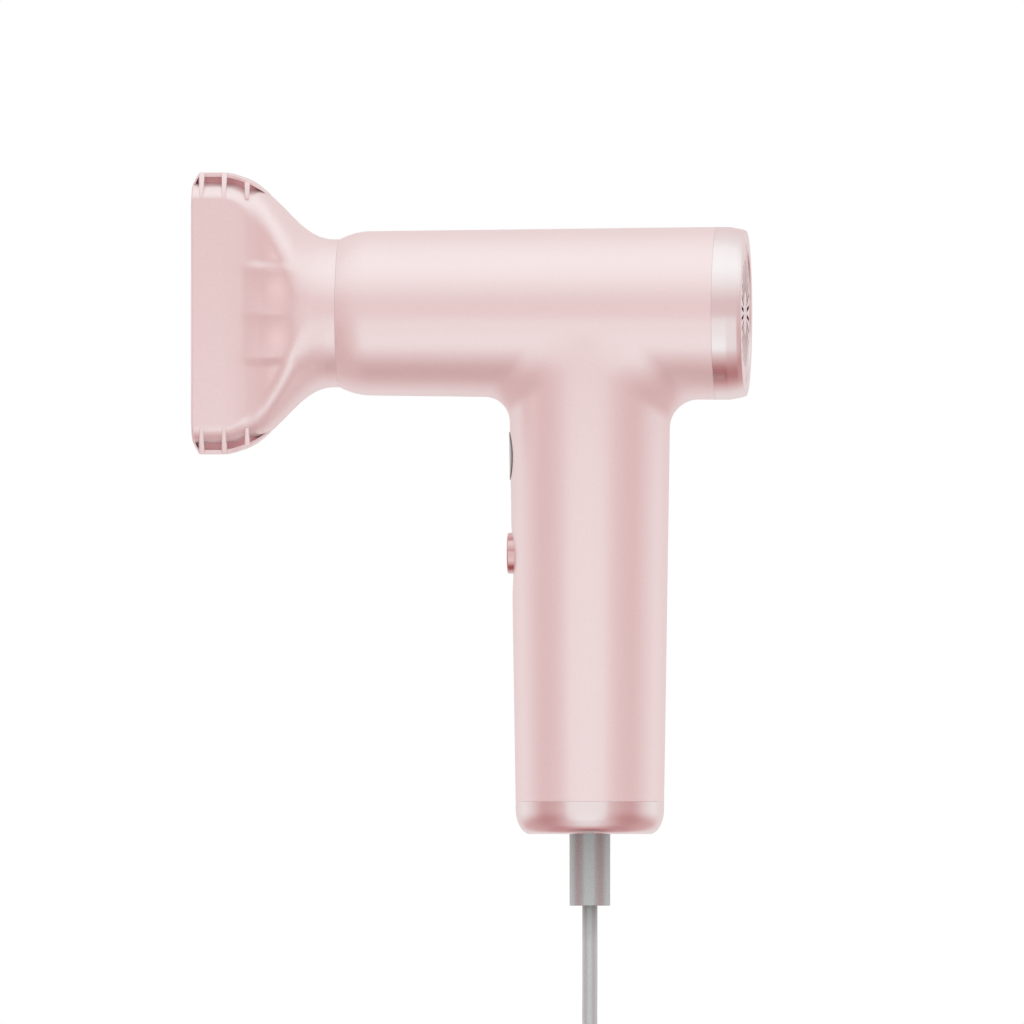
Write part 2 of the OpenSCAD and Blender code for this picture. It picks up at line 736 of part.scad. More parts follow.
module bottom_cap() {
    r = handle_bottom_r;
    top = handle_bottom_z - cap_gap;
    // The side bows in below side_z along a wide arc, which runs into the corner's arc
    side_z = cap_height - 2;
    side_x = r - cap_side_r;
    corner_x = side_x + sqrt((cap_side_r - cap_corner_r) ^ 2 - (side_z - cap_corner_r) ^ 2);
    join_z = cap_corner_r * (1 - (side_z - cap_corner_r) / (cap_side_r - cap_corner_r));
    color(metal_colour) difference() {
        union() {
            translate([0, 0, cap_bottom_z]) rotate_extrude() intersection() {
                square([r, top - cap_bottom_z]);
                union() {
                    translate([0, side_z]) square([r, 20]);
                    square([side_x, 20]);
                    translate([side_x, side_z]) circle(r = cap_side_r);
                }
                union() {
                    translate([0, join_z]) square([r, 20]);
                    square([corner_x, 20]);
                    translate([corner_x, cap_corner_r]) circle(r = cap_corner_r);
                }
            }
            translate([0, 0, top - 1]) cylinder(h = 4, r = r - handle_wall - 0.1);
        }
        translate([0, 0, cap_bottom_z + 2]) cylinder(h = 20, r1 = r - 3.6, r2 = r - 3.6);
        translate([0, 0, cap_bottom_z - 1]) cylinder(h = 5, r = relief_d / 2 + 0.02);
        for (side = [-1, 1]) translate([5, side * 11, cap_bottom_z - 1]) {
            cylinder(h = 5, r = 1.3);
            cylinder(h = 1 + 1.6, r = 2.3);
        }
    }
}

module cap_screws() {
    color(steel_colour) for (side = [-1, 1])
        translate([5, side * 11, cap_bottom_z + 1.6]) screw(14);
}

module cord_clamp() {
    color(dark_colour) difference() {
        translate([-4, -10, chassis_floor_z + 3.1]) cube([8, 20, 4]);
        translate([0, 0, chassis_floor_z]) cylinder(h = 9, r = cord_r + 0.02);
        for (side = [-1, 1])
            translate([0, side * 7, chassis_floor_z]) cylinder(h = 9, r = 1.25);
    }
}

module clamp_screws() {
    color(steel_colour) for (side = [-1, 1])
        translate([0, side * 7, chassis_floor_z + 7.1]) mirror([0, 0, 1]) screw(8);
}

module strain_relief() {
    flange_z = cap_bottom_z + 2.1;
    color(cord_colour) difference() {
        union() {
            translate([0, 0, relief_end_z])
                cylinder(h = flange_z + 2 - relief_end_z, r = relief_d / 2);
            translate([0, 0, flange_z]) cylinder(h = 2, r = relief_d / 2 + 2);
        }
        translate([0, 0, relief_end_z - 1]) cylinder(h = 40, r = cord_r + 0.02);
    }
}

module power_leads() {
    color([0.25, 0.3, 0.6]) for (y = [-1.3, 1.3])
        translate([0, y, cord_start_z + 0.1]) cylinder(h = 14, r = 0.9);
}

module motor_leads() {
    top_z = axis_z - duct_outer_r - 5.2;
    color([0.65, 0.2, 0.2]) for (y = [-4, 0, 4])
        translate([-3, y, board_top_z]) cylinder(h = top_z - board_top_z, r = 0.8);
}

// ---------------------------------------------------------------- cord and plug

module cord_lead() {
    color(cord_colour) route_tube(lead_route, cord_r);
}

module cord_coil() {
    round_r = 2.3;
    width = 2 * coil_half_width;
    depth = coil_outer_r - coil_inner_r;
    color(cord_colour) translate(coil_centre) rotate([90, 0, 0]) rotate_extrude()
        translate([coil_inner_r, -coil_half_width]) union() {
            translate([round_r, 0]) square([depth - 2 * round_r, width]);
            translate([0, round_r]) square([depth, width - 2 * round_r]);
            for (x = [round_r, depth - round_r], y = [round_r, width - round_r])
                translate([x, y]) circle(r = round_r, $fn = 24);
        }
}

module cord_tie() {
    gap = 0.2;
    x1 = coil_centre[0] + coil_inner_r - gap - 0.9;
    x2 = coil_centre[0] + coil_outer_r + gap;
    y = coil_half_width + gap;
    color(dark_colour) translate([0, 0, coil_centre[2] - tie_width / 2]) difference() {
        translate([x1 - tie_thickness, -y - tie_thickness, 0])
            cube([x2 - x1 + 2 * tie_thickness, 2 * (y + tie_thickness), tie_width]);
        translate([x1, -y, -1]) cube([x2 - x1, 2 * y, tie_width + 2]);
    }
}

module cord_tail() {
    color(cord_colour) route_tube(tail_route, cord_r);
}

// Puts what is drawn at the root of each plug pin, in the plane of the plug's face
module at_plug_pins() {
    for (side = [-1, 1])
        translate([plug_centre[0], plug_centre[1] + side * plug_pin_pitch / 2, plug_face_z])
            children();
}

module plug_body() {
    length = plug_top_z - plug_face_z;
    sleeve_length = 9;
    color(cord_colour) difference() {
        union() {
            translate([plug_centre[0], plug_centre[1], plug_top_z - sleeve_length])
                cylinder(h = sleeve_length, r1 = 5, r2 = 3.6);
            hull() {
                at_plug_pins() cylinder(h = 16, r = 8, $fn = 32);
                translate([plug_centre[0], plug_centre[1], plug_face_z])
                    cylinder(h = length - sleeve_length + 1, r = 5.5, $fn = 32);
            }
        }
        at_plug_pins() translate([0, 0, -1]) cylinder(h = 1 + shank_length, r = shank_r);
    }
}

module plug_pins() {
    tip = 1;
    r = plug_pin_d / 2;
    color(steel_colour) at_plug_pins() {
        translate([0, 0, -plug_pin_length]) cylinder(h = tip, r1 = r - 0.8, r2 = r);
        translate([0, 0, tip - plug_pin_length]) cylinder(h = plug_pin_length - tip, r = r);
        cylinder(h = shank_length, r = shank_r);
    }
}

housing();
outlet_ring();
front_steel_ring();
outlet_grille();
ion_needle();
nozzle_collar();
nozzle_magnets();
nozzle_neck();
nozzle_shell();
nozzle_duct();
nozzle_grip_bands();
inlet_steel_ring();
inlet_bell();
rear_cover();
rear_grille();
dust_filter();
cover_magnets();
motor_frame();
motor_stator();
motor_windings();
motor_bearings();
motor_shaft();
rotor_magnet();
impeller();
impeller_nut();
motor_mounts();
heater_tube();
heater_frame();
heater_wire();
thermostat();
thermal_fuse();
power_button();
mode_button();
power_switch();
mode_switch();
main_board();
triac();
heatsink();
capacitors();
choke();
ion_module();
handle_chassis();
board_screws();
bottom_cap();
cap_screws();
cord_clamp();
clamp_screws();
strain_relief();
power_leads();
motor_leads();
cord_lead();
cord_coil();
cord_tie();
cord_tail();
plug_body();
plug_pins();
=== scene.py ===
"""Travel hair dryer: the visual model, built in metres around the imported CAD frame."""
import json
import math

import bmesh
import bpy
import numpy as np
from mathutils import Matrix, Vector


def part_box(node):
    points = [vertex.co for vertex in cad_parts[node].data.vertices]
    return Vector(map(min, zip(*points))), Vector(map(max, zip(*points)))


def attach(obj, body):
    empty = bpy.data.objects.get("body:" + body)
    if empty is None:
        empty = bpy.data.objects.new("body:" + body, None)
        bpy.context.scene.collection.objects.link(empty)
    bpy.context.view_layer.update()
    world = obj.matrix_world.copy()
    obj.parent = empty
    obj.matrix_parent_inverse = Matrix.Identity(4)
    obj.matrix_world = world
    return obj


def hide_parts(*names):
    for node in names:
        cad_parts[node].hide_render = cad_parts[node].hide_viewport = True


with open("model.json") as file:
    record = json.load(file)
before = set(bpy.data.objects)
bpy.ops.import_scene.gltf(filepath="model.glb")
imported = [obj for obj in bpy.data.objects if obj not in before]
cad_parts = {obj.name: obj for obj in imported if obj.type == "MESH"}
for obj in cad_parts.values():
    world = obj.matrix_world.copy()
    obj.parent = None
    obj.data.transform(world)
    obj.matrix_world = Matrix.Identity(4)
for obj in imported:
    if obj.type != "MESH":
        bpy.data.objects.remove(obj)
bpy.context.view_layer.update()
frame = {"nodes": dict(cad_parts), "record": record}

MM = 0.001
SHARP_ANGLE = 40


def node_box(node):
    """A CAD node's lowest and highest corner, in millimetres."""
    low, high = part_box(node)
    return [v / MM for v in low], [v / MM for v in high]


# ---------------------------------------------------------------- sizes, in millimetres

AXIS_Z = 99.0
NECK_R = 22.4
SHOULDER_R = 24.9
SHOULDER_X = -66.5
(FRONT_X, _, HANDLE_END_Z), (REAR_X, REAR_R, _) = node_box("housing")
HANDLE_END_R = node_box("bottom_cap")[1][0]
HANDLE_TOP_R = 24.2
HANDLE_TOP_Z = 62.0
HANDLE_CUT = 6.0  # how far under the barrel's axis the handle's surface stops
FILLET_R = 8.15
FILLET_R_CHANGE, FILLET_R_CHANGE_MAX = 0.65, 0.7
FILLET_WIDENING = 2.2
POWER_Z = 26.3
POWER_R = 6.2
MODE_Z = 55.8
MODE_R = 7.45
RELIEF_R = 6.2
BUTTON_GAP = 0.3
HOLLOW_DEPTH, HOLLOW_DROP = 0.5, 2.5
HOLLOW_HALF_WIDTH, HOLLOW_HALF_HEIGHT = 9.5, 11.0
RIM_ROUNDING, RIM_WALL, RIM_DEPTH = 0.05, 1.8, 9.0
SEAM = 0.02


# ---------------------------------------------------------------- mesh helpers

def add_object(name, data):
    obj = bpy.data.objects.new(name, data)
    bpy.context.scene.collection.objects.link(obj)
    return obj


def clean_up(mesh, weld):
    """Welds points closer than weld metres, turns normals outward and shades smooth."""
    bm = bmesh.new()
    bm.from_mesh(mesh)
    bmesh.ops.remove_doubles(bm, verts=bm.verts, dist=weld)
    bmesh.ops.recalc_face_normals(bm, faces=bm.faces)
    bm.to_mesh(mesh)
    bm.free()
    mesh.shade_smooth()
    mesh.set_sharp_from_angle(angle=math.radians(SHARP_ANGLE))


def add_mesh(name, points, faces, weighted=True):
    """A smooth-shaded mesh object from points in millimetres."""
    mesh = bpy.data.meshes.new(name)
    mesh.from_pydata([tuple(float(c) * MM for c in p) for p in points], [], faces)
    clean_up(mesh, weld=1e-7)
    obj = add_object(name, mesh)
    if weighted:
        obj.modifiers.new("face_weighted_normals", "WEIGHTED_NORMAL").keep_sharp = True
    return obj


def rounded(corners, steps=6):
    """A closed outline of (a, b, radius) corners, with each corner turned into an arc."""
    out = []
    count = len(corners)
    for i, (a, b, radius) in enumerate(corners):
        here = Vector((a, b))
        before = Vector(corners[i - 1][:2]) - here
        after = Vector(corners[(i + 1) % count][:2]) - here
        if radius <= 0:
            out.append((a, b))
            continue
        before.normalize()
        after.normalize()
        half = before.angle(after) / 2
        reach = radius / math.tan(half)
        centre = here + (before + after).normalized() * (radius / math.sin(half))
        start = here + before * reach - centre
        end = here + after * reach - centre
        turn = start.angle_signed(end)
        for k in range(steps + 1):
            spoke = start.copy()
            spoke.rotate(Matrix.Rotation(-turn * k / steps, 2))
            out.append(tuple(centre + spoke))
    return out


def on_barrel(radius, along, angle):
    return (along, radius * math.sin(angle), AXIS_Z + radius * math.cos(angle))


def on_handle(radius, along, angle):
    return (radius * math.cos(angle), radius * math.sin(angle), along)


def loft(name, rings, closed=True):
    """Rings of equally many points, joined in order; closed joins the last to the first."""
    n = len(rings[0])
    points = [p for ring in rings for p in ring]
    steps = len(rings) if closed else len(rings) - 1
    faces = [(j * n + i, j * n + (i + 1) % n,
              (j + 1) % len(rings) * n + (i + 1) % n, (j + 1) % len(rings) * n + i)
             for j in range(steps) for i in range(n)]
    if not closed:
        faces += [tuple(range(n)), tuple(range((len(rings) - 1) * n, len(rings) * n))]
    return add_mesh(name, points, faces)


def lathe(name, outline, around, segments):
    """A closed outline of (radius, along) points, turned about an axis that around() knows."""
    return loft(name, [[around(r, a, math.tau * k / segments) for r, a in outline]
                       for k in range(segments)])


def smooth_table(table, x):
    """Columns of a table of (x, a, b, ...), joined by a monotone cubic."""
    data = np.array(table, float)
    xs, ys = data[:, 0], data[:, 1:]
    gap = np.diff(xs)[:, None]
    slope = np.diff(ys, axis=0) / gap
    tangent = np.zeros_like(ys)
    tangent[0], tangent[-1] = slope[0], slope[-1]
    same = slope[:-1] * slope[1:] > 0
    mean = np.zeros_like(slope[:-1])
    mean[same] = 2 * slope[:-1][same] * slope[1:][same] / (slope[:-1] + slope[1:])[same]
    tangent[1:-1] = mean
    i = int(np.clip(np.searchsorted(xs, x) - 1, 0, len(xs) - 2))
    h = xs[i + 1] - xs[i]
    t = (x - xs[i]) / h
    return ((2 * t**3 - 3 * t**2 + 1) * ys[i] + (t**3 - 2 * t**2 + t) * h * tangent[i]
            + (3 * t**2 - 2 * t**3) * ys[i + 1] + (t**3 - t**2) * h * tangent[i + 1])


# ---------------------------------------------------------------- camera

PHOTO_AZIMUTH = math.radians(4)
VIEW_WIDTH = 310.3
VIEW_CENTRE = (-23.6, 38.8)  # along the view's right, and up
CAMERA_DISTANCE = 1200


def make_camera():
    camera = bpy.data.cameras.new("camera")
    camera.type = "ORTHO"
    camera.ortho_scale = VIEW_WIDTH * MM
    camera.clip_end = 10
    obj = add_object("camera", camera)
    right = Vector((math.cos(PHOTO_AZIMUTH), math.sin(PHOTO_AZIMUTH), 0))
    back = Vector((math.sin(PHOTO_AZIMUTH), -math.cos(PHOTO_AZIMUTH), 0))
    centre = right * VIEW_CENTRE[0] + Vector((0, 0, VIEW_CENTRE[1]))
    obj.location = (centre + back * CAMERA_DISTANCE) * MM
    obj.rotation_euler = (math.pi / 2, 0, PHOTO_AZIMUTH)
    bpy.context.scene.camera = obj


# ---------------------------------------------------------------- cord

CORD_D = 4.6
EXIT_Z = node_box("strain_relief")[0][2]
LEAD = [(0, 0, -104), (0, 0, -118), (0.7, -0.2, -126.5), (3, -0.8, -134.5), (6.6, -1.8, -142.5),
        (13, -3.5, -151), (19.4, -5.1, -159.5), (23, -6.1, -167.5), (25.4, -6.7, -176)]
COIL_X, COIL_Z = -4.0, -184.0
COIL_OUTER_R = 30.0
COIL_INNER_R = 18.5
COIL_LAYERS = (-6.9, -2.3, 2.3, 6.9)
SPIRAL_TURNS = 2.5
STEP_TURNS = 1 / 3
PLUG_X, PLUG_Y = 26.0, 6.9
PLUG_FACE_Z, PLUG_TOP_Z = (corner[2] for corner in node_box("plug_body"))
TAIL = [(PLUG_X, PLUG_Y, z) for z in (-190, -197, -204, PLUG_TOP_Z)]


def smooth_path(points, per_gap):
    """A Catmull-Rom curve through the points."""
    pts = [np.array(p, float) for p in points]
    pts = [2 * pts[0] - pts[1]] + pts + [2 * pts[-1] - pts[-2]]
    out = []
    for i in range(1, len(pts) - 2):
        a, b, c, d = pts[i - 1:i + 3]
        for k in range(per_gap):
            t = k / per_gap
            out.append(0.5 * (2 * b + (c - a) * t + (2 * a - 5 * b + 4 * c - d) * t**2
                              + (3 * b - a - 3 * c + d) * t**3))
    return out + [pts[-2]]


def ease(t):
    return t * t * (3 - 2 * t)


def coil_points(per_turn=36):
    """Turns that spiral in and out, layer by layer, and step sideways between layers."""
    out = []
    turn = 0.0
    for layer, y in enumerate(COIL_LAYERS):
        ends = (COIL_OUTER_R, COIL_INNER_R) if layer % 2 == 0 else (COIL_INNER_R, COIL_OUTER_R)
        steps = int(SPIRAL_TURNS * per_turn)
        out += [(turn + SPIRAL_TURNS * k / steps, ends[0] + (ends[1] - ends[0]) * k / steps, y)
                for k in range(steps)]
        turn += SPIRAL_TURNS
        if layer + 1 < len(COIL_LAYERS):
            steps = int(STEP_TURNS * per_turn)
            rise = COIL_LAYERS[layer + 1] - y
            out += [(turn + STEP_TURNS * k / steps, ends[1], y + rise * ease(k / steps))
                    for k in range(steps)]
            turn += STEP_TURNS
    out.append((turn, COIL_OUTER_R, COIL_LAYERS[-1]))
    return [np.array((COIL_X + r * math.cos(math.tau * t), y,
                      COIL_Z - r * math.sin(math.tau * t))) for t, r, y in out]


def cord_path():
    straight = [(0, 0, EXIT_Z), (0, 0, EXIT_Z - 10)]
    coil = coil_points()
    lead = smooth_path(straight + LEAD + [tuple(coil[0])], per_gap=6)
    tail = smooth_path([tuple(coil[-1])] + TAIL, per_gap=3)
    return lead[:-1] + coil[:-1] + tail


def make_cord(material):
    path = cord_path()
    curve = bpy.data.curves.new("cord", "CURVE")
    curve.dimensions = "3D"
    curve.bevel_depth = CORD_D / 2 * MM
    curve.bevel_resolution = 7
    curve.use_fill_caps = True
    spline = curve.splines.new("POLY")
    spline.points.add(len(path) - 1)
    for point, p in zip(spline.points, path):
        point.co = (*(p * MM), 1)
    spline.use_smooth = True
    cord = add_object("cord", curve)
    curve.materials.append(material)
    length = sum(np.linalg.norm(b - a) for a, b in zip(path, path[1:])) * MM
    print(f"cord route {length:.4f} m")
    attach(cord, "dryer")
    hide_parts("cord_lead", "cord_coil", "cord_tail")
    return cord


# ---------------------------------------------------------------- materials

NOISE_LOW, NOISE_HIGH = 0.3, 0.7  # nearly all of a noise lies between these


def start_material(name):
    material = bpy.data.materials.new(name)
    material.use_nodes = True
    nodes = material.node_tree.nodes
    return material, nodes, material.node_tree.links, nodes["Principled BSDF"]


def noise(nodes, links, scale, stretch=(1, 1, 1)):
    """A noise texture in object space; scale is in cycles per metre."""
    coords = nodes.new("ShaderNodeTexCoord")
    mapping = nodes.new("ShaderNodeMapping")
    mapping.inputs["Scale"].default_value = stretch
    texture = nodes.new("ShaderNodeTexNoise")
    texture.inputs["Scale"].default_value = scale
    texture.inputs["Detail"].default_value = 3.0
    texture.inputs["Roughness"].default_value = 0.55
    links.new(coords.outputs["Object"], mapping.inputs["Vector"])
    links.new(mapping.outputs["Vector"], texture.inputs["Vector"])
    return texture.outputs["Fac"]


def ramp(nodes, links, value, stops):
    """A colour ramp of (position, colour) stops."""
    node = nodes.new("ShaderNodeValToRGB")
    node.color_ramp.elements[0].position, node.color_ramp.elements[-1].position = 0.0, 1.0
    while len(node.color_ramp.elements) < len(stops):
        node.color_ramp.elements.new(0.5)
    for element, (position, colour) in zip(node.color_ramp.elements, stops):
        element.position = position
        element.color = (*colour, 1.0)
    links.new(value, node.inputs["Fac"])
    return node.outputs["Color"]


def spread(nodes, links, value, low, high):
    """Maps the range of a noise onto low to high."""
    node = nodes.new("ShaderNodeMapRange")
    node.inputs["From Min"].default_value = NOISE_LOW
    node.inputs["From Max"].default_value = NOISE_HIGH
    node.inputs["To Min"].default_value = low
    node.inputs["To Max"].default_value = high
    links.new(value, node.inputs["Value"])
    return node.outputs["Result"]


def bump(nodes, links, shader, height, strength, depth):
    node = nodes.new("ShaderNodeBump")
    node.inputs["Strength"].default_value = strength
    node.inputs["Distance"].default_value = depth
    links.new(height, node.inputs["Height"])
    links.new(node.outputs["Normal"], shader.inputs["Normal"])


def painted_shade_by_height(nodes, links, colour, bottom, top, darkening):
    """The colour with painted shade: darker towards the top of a stretch of height in millimetres.
    """
    coords = nodes.new("ShaderNodeTexCoord")
    split = nodes.new("ShaderNodeSeparateXYZ")
    height = nodes.new("ShaderNodeMapRange")
    height.inputs["From Min"].default_value = bottom * MM
    height.inputs["From Max"].default_value = top * MM
    height.inputs["To Min"].default_value = 1.0
    height.inputs["To Max"].default_value = 1.0 - darkening
    dim = nodes.new("ShaderNodeVectorMath")
    dim.operation = "SCALE"
    links.new(coords.outputs["Object"], split.inputs["Vector"])
    links.new(split.outputs["Z"], height.inputs["Value"])
    links.new(colour, dim.inputs[0])
    links.new(height.outputs["Result"], dim.inputs["Scale"])
    return dim.outputs["Vector"]


def scaled(colour, factor):
    return tuple(c * factor for c in colour)


def textured(name, colour, vary, grain, rough, metallic=0.0, coat=0.0, coat_rough=0.1,
             bumps=0.0, bump_depth=0.00003, stretch=(1, 1, 1), painted_shade=None):
    """A surface whose colour, roughness and relief all come from noise at its own grain.

    rough is the lowest and highest roughness. The last argument, (bottom, top, darkening), paints
    shade onto the colour: it darkens the colour evenly between two heights, most at the top.
    """
    material, nodes, links, shader = start_material(name)
    fine = noise(nodes, links, grain, stretch=stretch)
    shader.inputs["Metallic"].default_value = metallic
    shader.inputs["Coat Weight"].default_value = coat
    shader.inputs["Coat Roughness"].default_value = coat_rough
    grain_colour = ramp(nodes, links, fine, [(NOISE_LOW, scaled(colour, 1 - vary)),
                                             (NOISE_HIGH, scaled(colour, 1 + vary))])
    if painted_shade:
        grain_colour = painted_shade_by_height(nodes, links, grain_colour, *painted_shade)
    links.new(grain_colour, shader.inputs["Base Color"])
    links.new(spread(nodes, links, fine, *rough), shader.inputs["Roughness"])
    if bumps:
        bump(nodes, links, shader, fine, bumps, bump_depth)
    return material


PINK = (0.95, 0.86, 0.86)
ROSE = (0.95, 0.90, 0.90)

MATERIALS = {
    "shell": textured("pearl_paint", PINK, 0.025, 2600, (0.30, 0.36), metallic=0.55,
                      coat=0.25, coat_rough=0.22, bumps=0.04, bump_depth=0.00001),
    "metallic": textured("rose_metal", ROSE, 0.02, 1500, (0.21, 0.26), metallic=1.0,
                         coat=0.2, coat_rough=0.12, stretch=(1, 6, 6)),
    "lens": textured("grey_gloss", (0.20, 0.23, 0.23), 0.04, 900, (0.10, 0.16), metallic=0.8,
                     coat=0.6, coat_rough=0.05),
    "dark_plastic": textured("dark_plastic", (0.028, 0.028, 0.03), 0.25, 2200, (0.45, 0.6),
                             bumps=0.25),
    "rubber": textured("rubber", (0.02, 0.02, 0.02), 0.2, 1800, (0.7, 0.85), bumps=0.3),
    "steel": textured("steel", (0.60, 0.61, 0.63), 0.06, 500, (0.2, 0.34), metallic=1.0,
                      stretch=(1, 1, 12)),
    "magnet": textured("magnet", (0.22, 0.22, 0.24), 0.12, 1600, (0.35, 0.5), metallic=1.0,
                       bumps=0.15),
    "aluminium": textured("aluminium", (0.80, 0.81, 0.82), 0.04, 1400, (0.25, 0.38),
                          metallic=1.0, bumps=0.05),
    "brass": textured("resistance_wire", (0.62, 0.48, 0.24), 0.1, 1500, (0.28, 0.42),
                      metallic=1.0),
    "copper": textured("enamelled_copper", (0.66, 0.27, 0.12), 0.15, 3000, (0.22, 0.36),
                       metallic=1.0, stretch=(1, 8, 1), bumps=0.4),
    "mica": textured("mica", (0.50, 0.42, 0.28), 0.3, 900, (0.35, 0.6), coat=0.2, bumps=0.2),
    "board": textured("board", (0.02, 0.14, 0.07), 0.35, 700, (0.3, 0.45), coat=0.3),
    "capacitor": textured("capacitor", (0.05, 0.06, 0.16), 0.15, 800, (0.25, 0.35)),
    # Painted shadow: the cord darkens over its top 11 mm, towards the strain relief and cap above
    # it
    "cord": textured("cord_vinyl", (0.58, 0.67, 0.67), 0.05, 1500, (0.30, 0.40),
                     metallic=0.5, bumps=0.1, painted_shade=(-92, -81, 0.35)),
    "leads": textured("lead_vinyl", (0.35, 0.04, 0.04), 0.1, 1200, (0.35, 0.45)),
}
# Painted shade: the webs sit deep in the band pockets, so they get a darker, deeper pink than the
# shell's paint, in place of the shade and pink inter-reflection there
WEB_PAINTED_SHADE = textured("web_painted_shade", (0.72, 0.44, 0.46), 0.03, 2600, (0.34, 0.40), metallic=0.5,
                     coat=0.2, bumps=0.04, bump_depth=0.00001)
# Painted shadow: the sleeve darkens towards its top, where the cap overhangs it
RELIEF_VINYL = textured("relief_vinyl", (0.53, 0.60, 0.60), 0.04, 1500, (0.22, 0.30),
                        metallic=0.7, bumps=0.1, painted_shade=(-81, -59, 0.25))
BUTTON_METAL = textured("button_metal", (0.80, 0.58, 0.58), 0.02, 1500, (0.07, 0.11),
                        metallic=1.0, stretch=(1, 6, 6))
# Painted shade: a dark red for the grille's slot walls, in place of the shade inside the slots
SLOT_WALL_SHADE = textured("slot_wall_shade", (0.28, 0.09, 0.10), 0.05, 1500, (0.40, 0.50), metallic=1.0)


def finish_cad_nodes():
    """Gives each carried-over CAD node the procedural material of its slot."""
    for part in frame["record"]["subparts"]:
        obj = frame["nodes"][part["node"]]
        obj.data.materials.clear()
        obj.data.materials.append(MATERIALS[part["material_slot"]])


def place(obj, body, slot, replaced=(), material=None):
    """Puts a finished piece on its body, with its material and the CAD nodes it stands for."""
    if not obj.data.materials:
        obj.data.materials.append(material or MATERIALS[slot])
    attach(obj, body)
    if replaced:
        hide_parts(*replaced)
    return obj


# ---------------------------------------------------------------- housing

GRADIENT_STEP = 0.02


def barrel_taper(x):
    return SHOULDER_R + (REAR_R - SHOULDER_R) * (x - SHOULDER_X) / (REAR_X - SHOULDER_X)


def barrel_radius(x):
    """A straight taper, drawn in towards the neck in front of the shoulder."""
    near_front = np.clip((SHOULDER_X - x) / (SHOULDER_X - FRONT_X), 0, None)
    return barrel_taper(x) - (barrel_taper(FRONT_X) - NECK_R) * near_front**2


def handle_radius(z):
    return HANDLE_END_R + (HANDLE_TOP_R - HANDLE_END_R) * (z - HANDLE_END_Z) / (
        HANDLE_TOP_Z - HANDLE_END_Z)


def body_distance(p):
    """Signed distance of points from the housing: barrel and handle, a rolling-ball fillet
    between them that widens on the flanks, and a shallow hollow around the power button."""
    x, y, z = p[:, 0], p[:, 1], p[:, 2]
    up = z - AXIS_Z
    barrel_rho = np.maximum(np.hypot(y, up), 1e-6)
    handle_rho = np.maximum(np.hypot(x, y), 1e-6)
    a = barrel_rho - barrel_radius(x)
    b = np.maximum(handle_rho - handle_radius(z), z - (AXIS_Z - HANDLE_CUT))
    cosine = y * y / (barrel_rho * handle_rho)
    ball = FILLET_R + np.clip(FILLET_R_CHANGE * x / HANDLE_TOP_R, -FILLET_R_CHANGE_MAX,
                              FILLET_R_CHANGE_MAX)
    ball = ball * (1 + FILLET_WIDENING * cosine**2)
    sine2 = np.maximum(1 - cosine**2, 1e-4)
    alpha = ((ball - a) - (ball - b) * cosine) / sine2
    beta = ((ball - b) - (ball - a) * cosine) / sine2
    inside = (alpha > 0) & (beta > 0) & (a < ball) & (b < ball) & (up < 0)
    reach = np.sqrt(np.maximum(alpha**2 + beta**2 + 2 * alpha * beta * cosine, 0))
    distance = np.where(inside, ball - reach, np.minimum(a, b))
    # The hollow is deepest a little under the button's middle and fades out all around it
    spot = np.hypot(y / HOLLOW_HALF_WIDTH, (z - POWER_Z + HOLLOW_DROP) / HOLLOW_HALF_HEIGHT)
    hollow = HOLLOW_DEPTH * np.clip(1 - spot**2, 0, None)**1.5 * (x < 0)
    return distance + hollow


def gradient(p):
    out = np.zeros_like(p)
    for k in range(3):
        shift = np.zeros(3)
        shift[k] = GRADIENT_STEP
        out[:, k] = (body_distance(p + shift) - body_distance(p - shift)) / (2 * GRADIENT_STEP)
    return out


def onto_body(p, rounds):
    """Moves points along the gradient onto the housing's surface."""
    for _ in range(rounds):
        g = gradient(p)
        p = p - body_distance(p)[:, None] * g / np.maximum((g * g).sum(1), 0.05)[:, None]
    return p


def tube_blank(bm, radius, length, matrix):
    bmesh.ops.create_cone(bm, cap_ends=True, segments=96, radius1=radius, radius2=radius,
                          depth=length, matrix=matrix)


def body_blank(voxel):
    """Barrel and handle as one evenly meshed surface, longer than the real one at each end."""
    blank = bpy.data.meshes.new("blank")
    over, slimmer = 4.0, 0.8
    bm = bmesh.new()
    barrel_length = REAR_X - FRONT_X + 2 * over
    handle_length = AXIS_Z - HANDLE_END_Z + over
    tube_blank(bm, SHOULDER_R, barrel_length,
               Matrix.Translation(((REAR_X + FRONT_X) / 2, 0, AXIS_Z))
               @ Matrix.Rotation(math.pi / 2, 4, "Y"))
    tube_blank(bm, HANDLE_TOP_R - slimmer, handle_length,
               Matrix.Translation((0, 0, AXIS_Z - handle_length / 2)))
    bm.to_mesh(blank)
    bm.free()
    obj = add_object("blank", blank)
    remesh = obj.modifiers.new("remesh", "REMESH")
    remesh.mode = "VOXEL"
    remesh.voxel_size = voxel
    evaluated = obj.evaluated_get(bpy.context.evaluated_depsgraph_get())
    mesh = bpy.data.meshes.new_from_object(evaluated)
    bpy.data.objects.remove(obj)
    return mesh


def relax(points, edges, rounds, keep=0.4):
    """Evens out the spacing of points that stay on the body's surface."""
    for _ in range(rounds):
        total = np.zeros_like(points)
        count = np.zeros(len(points))
        for a, b in ((0, 1), (1, 0)):
            np.add.at(total, edges[:, a], points[edges[:, b]])
            np.add.at(count, edges[:, a], 1)
        mean = total / np.maximum(count, 1)[:, None]
        points = onto_body(points * keep + (1 - keep) * mean, 2)
    return points


def snap_x(points):
    """Moves points along X onto the body's front surface."""
    for _ in range(6):
        value = body_distance(points)
        slope = (body_distance(points + (GRADIENT_STEP, 0, 0)) - value) / GRADIENT_STEP
        points[:, 0] -= value / np.where(np.abs(slope) < 0.1, -1, slope)
    return points


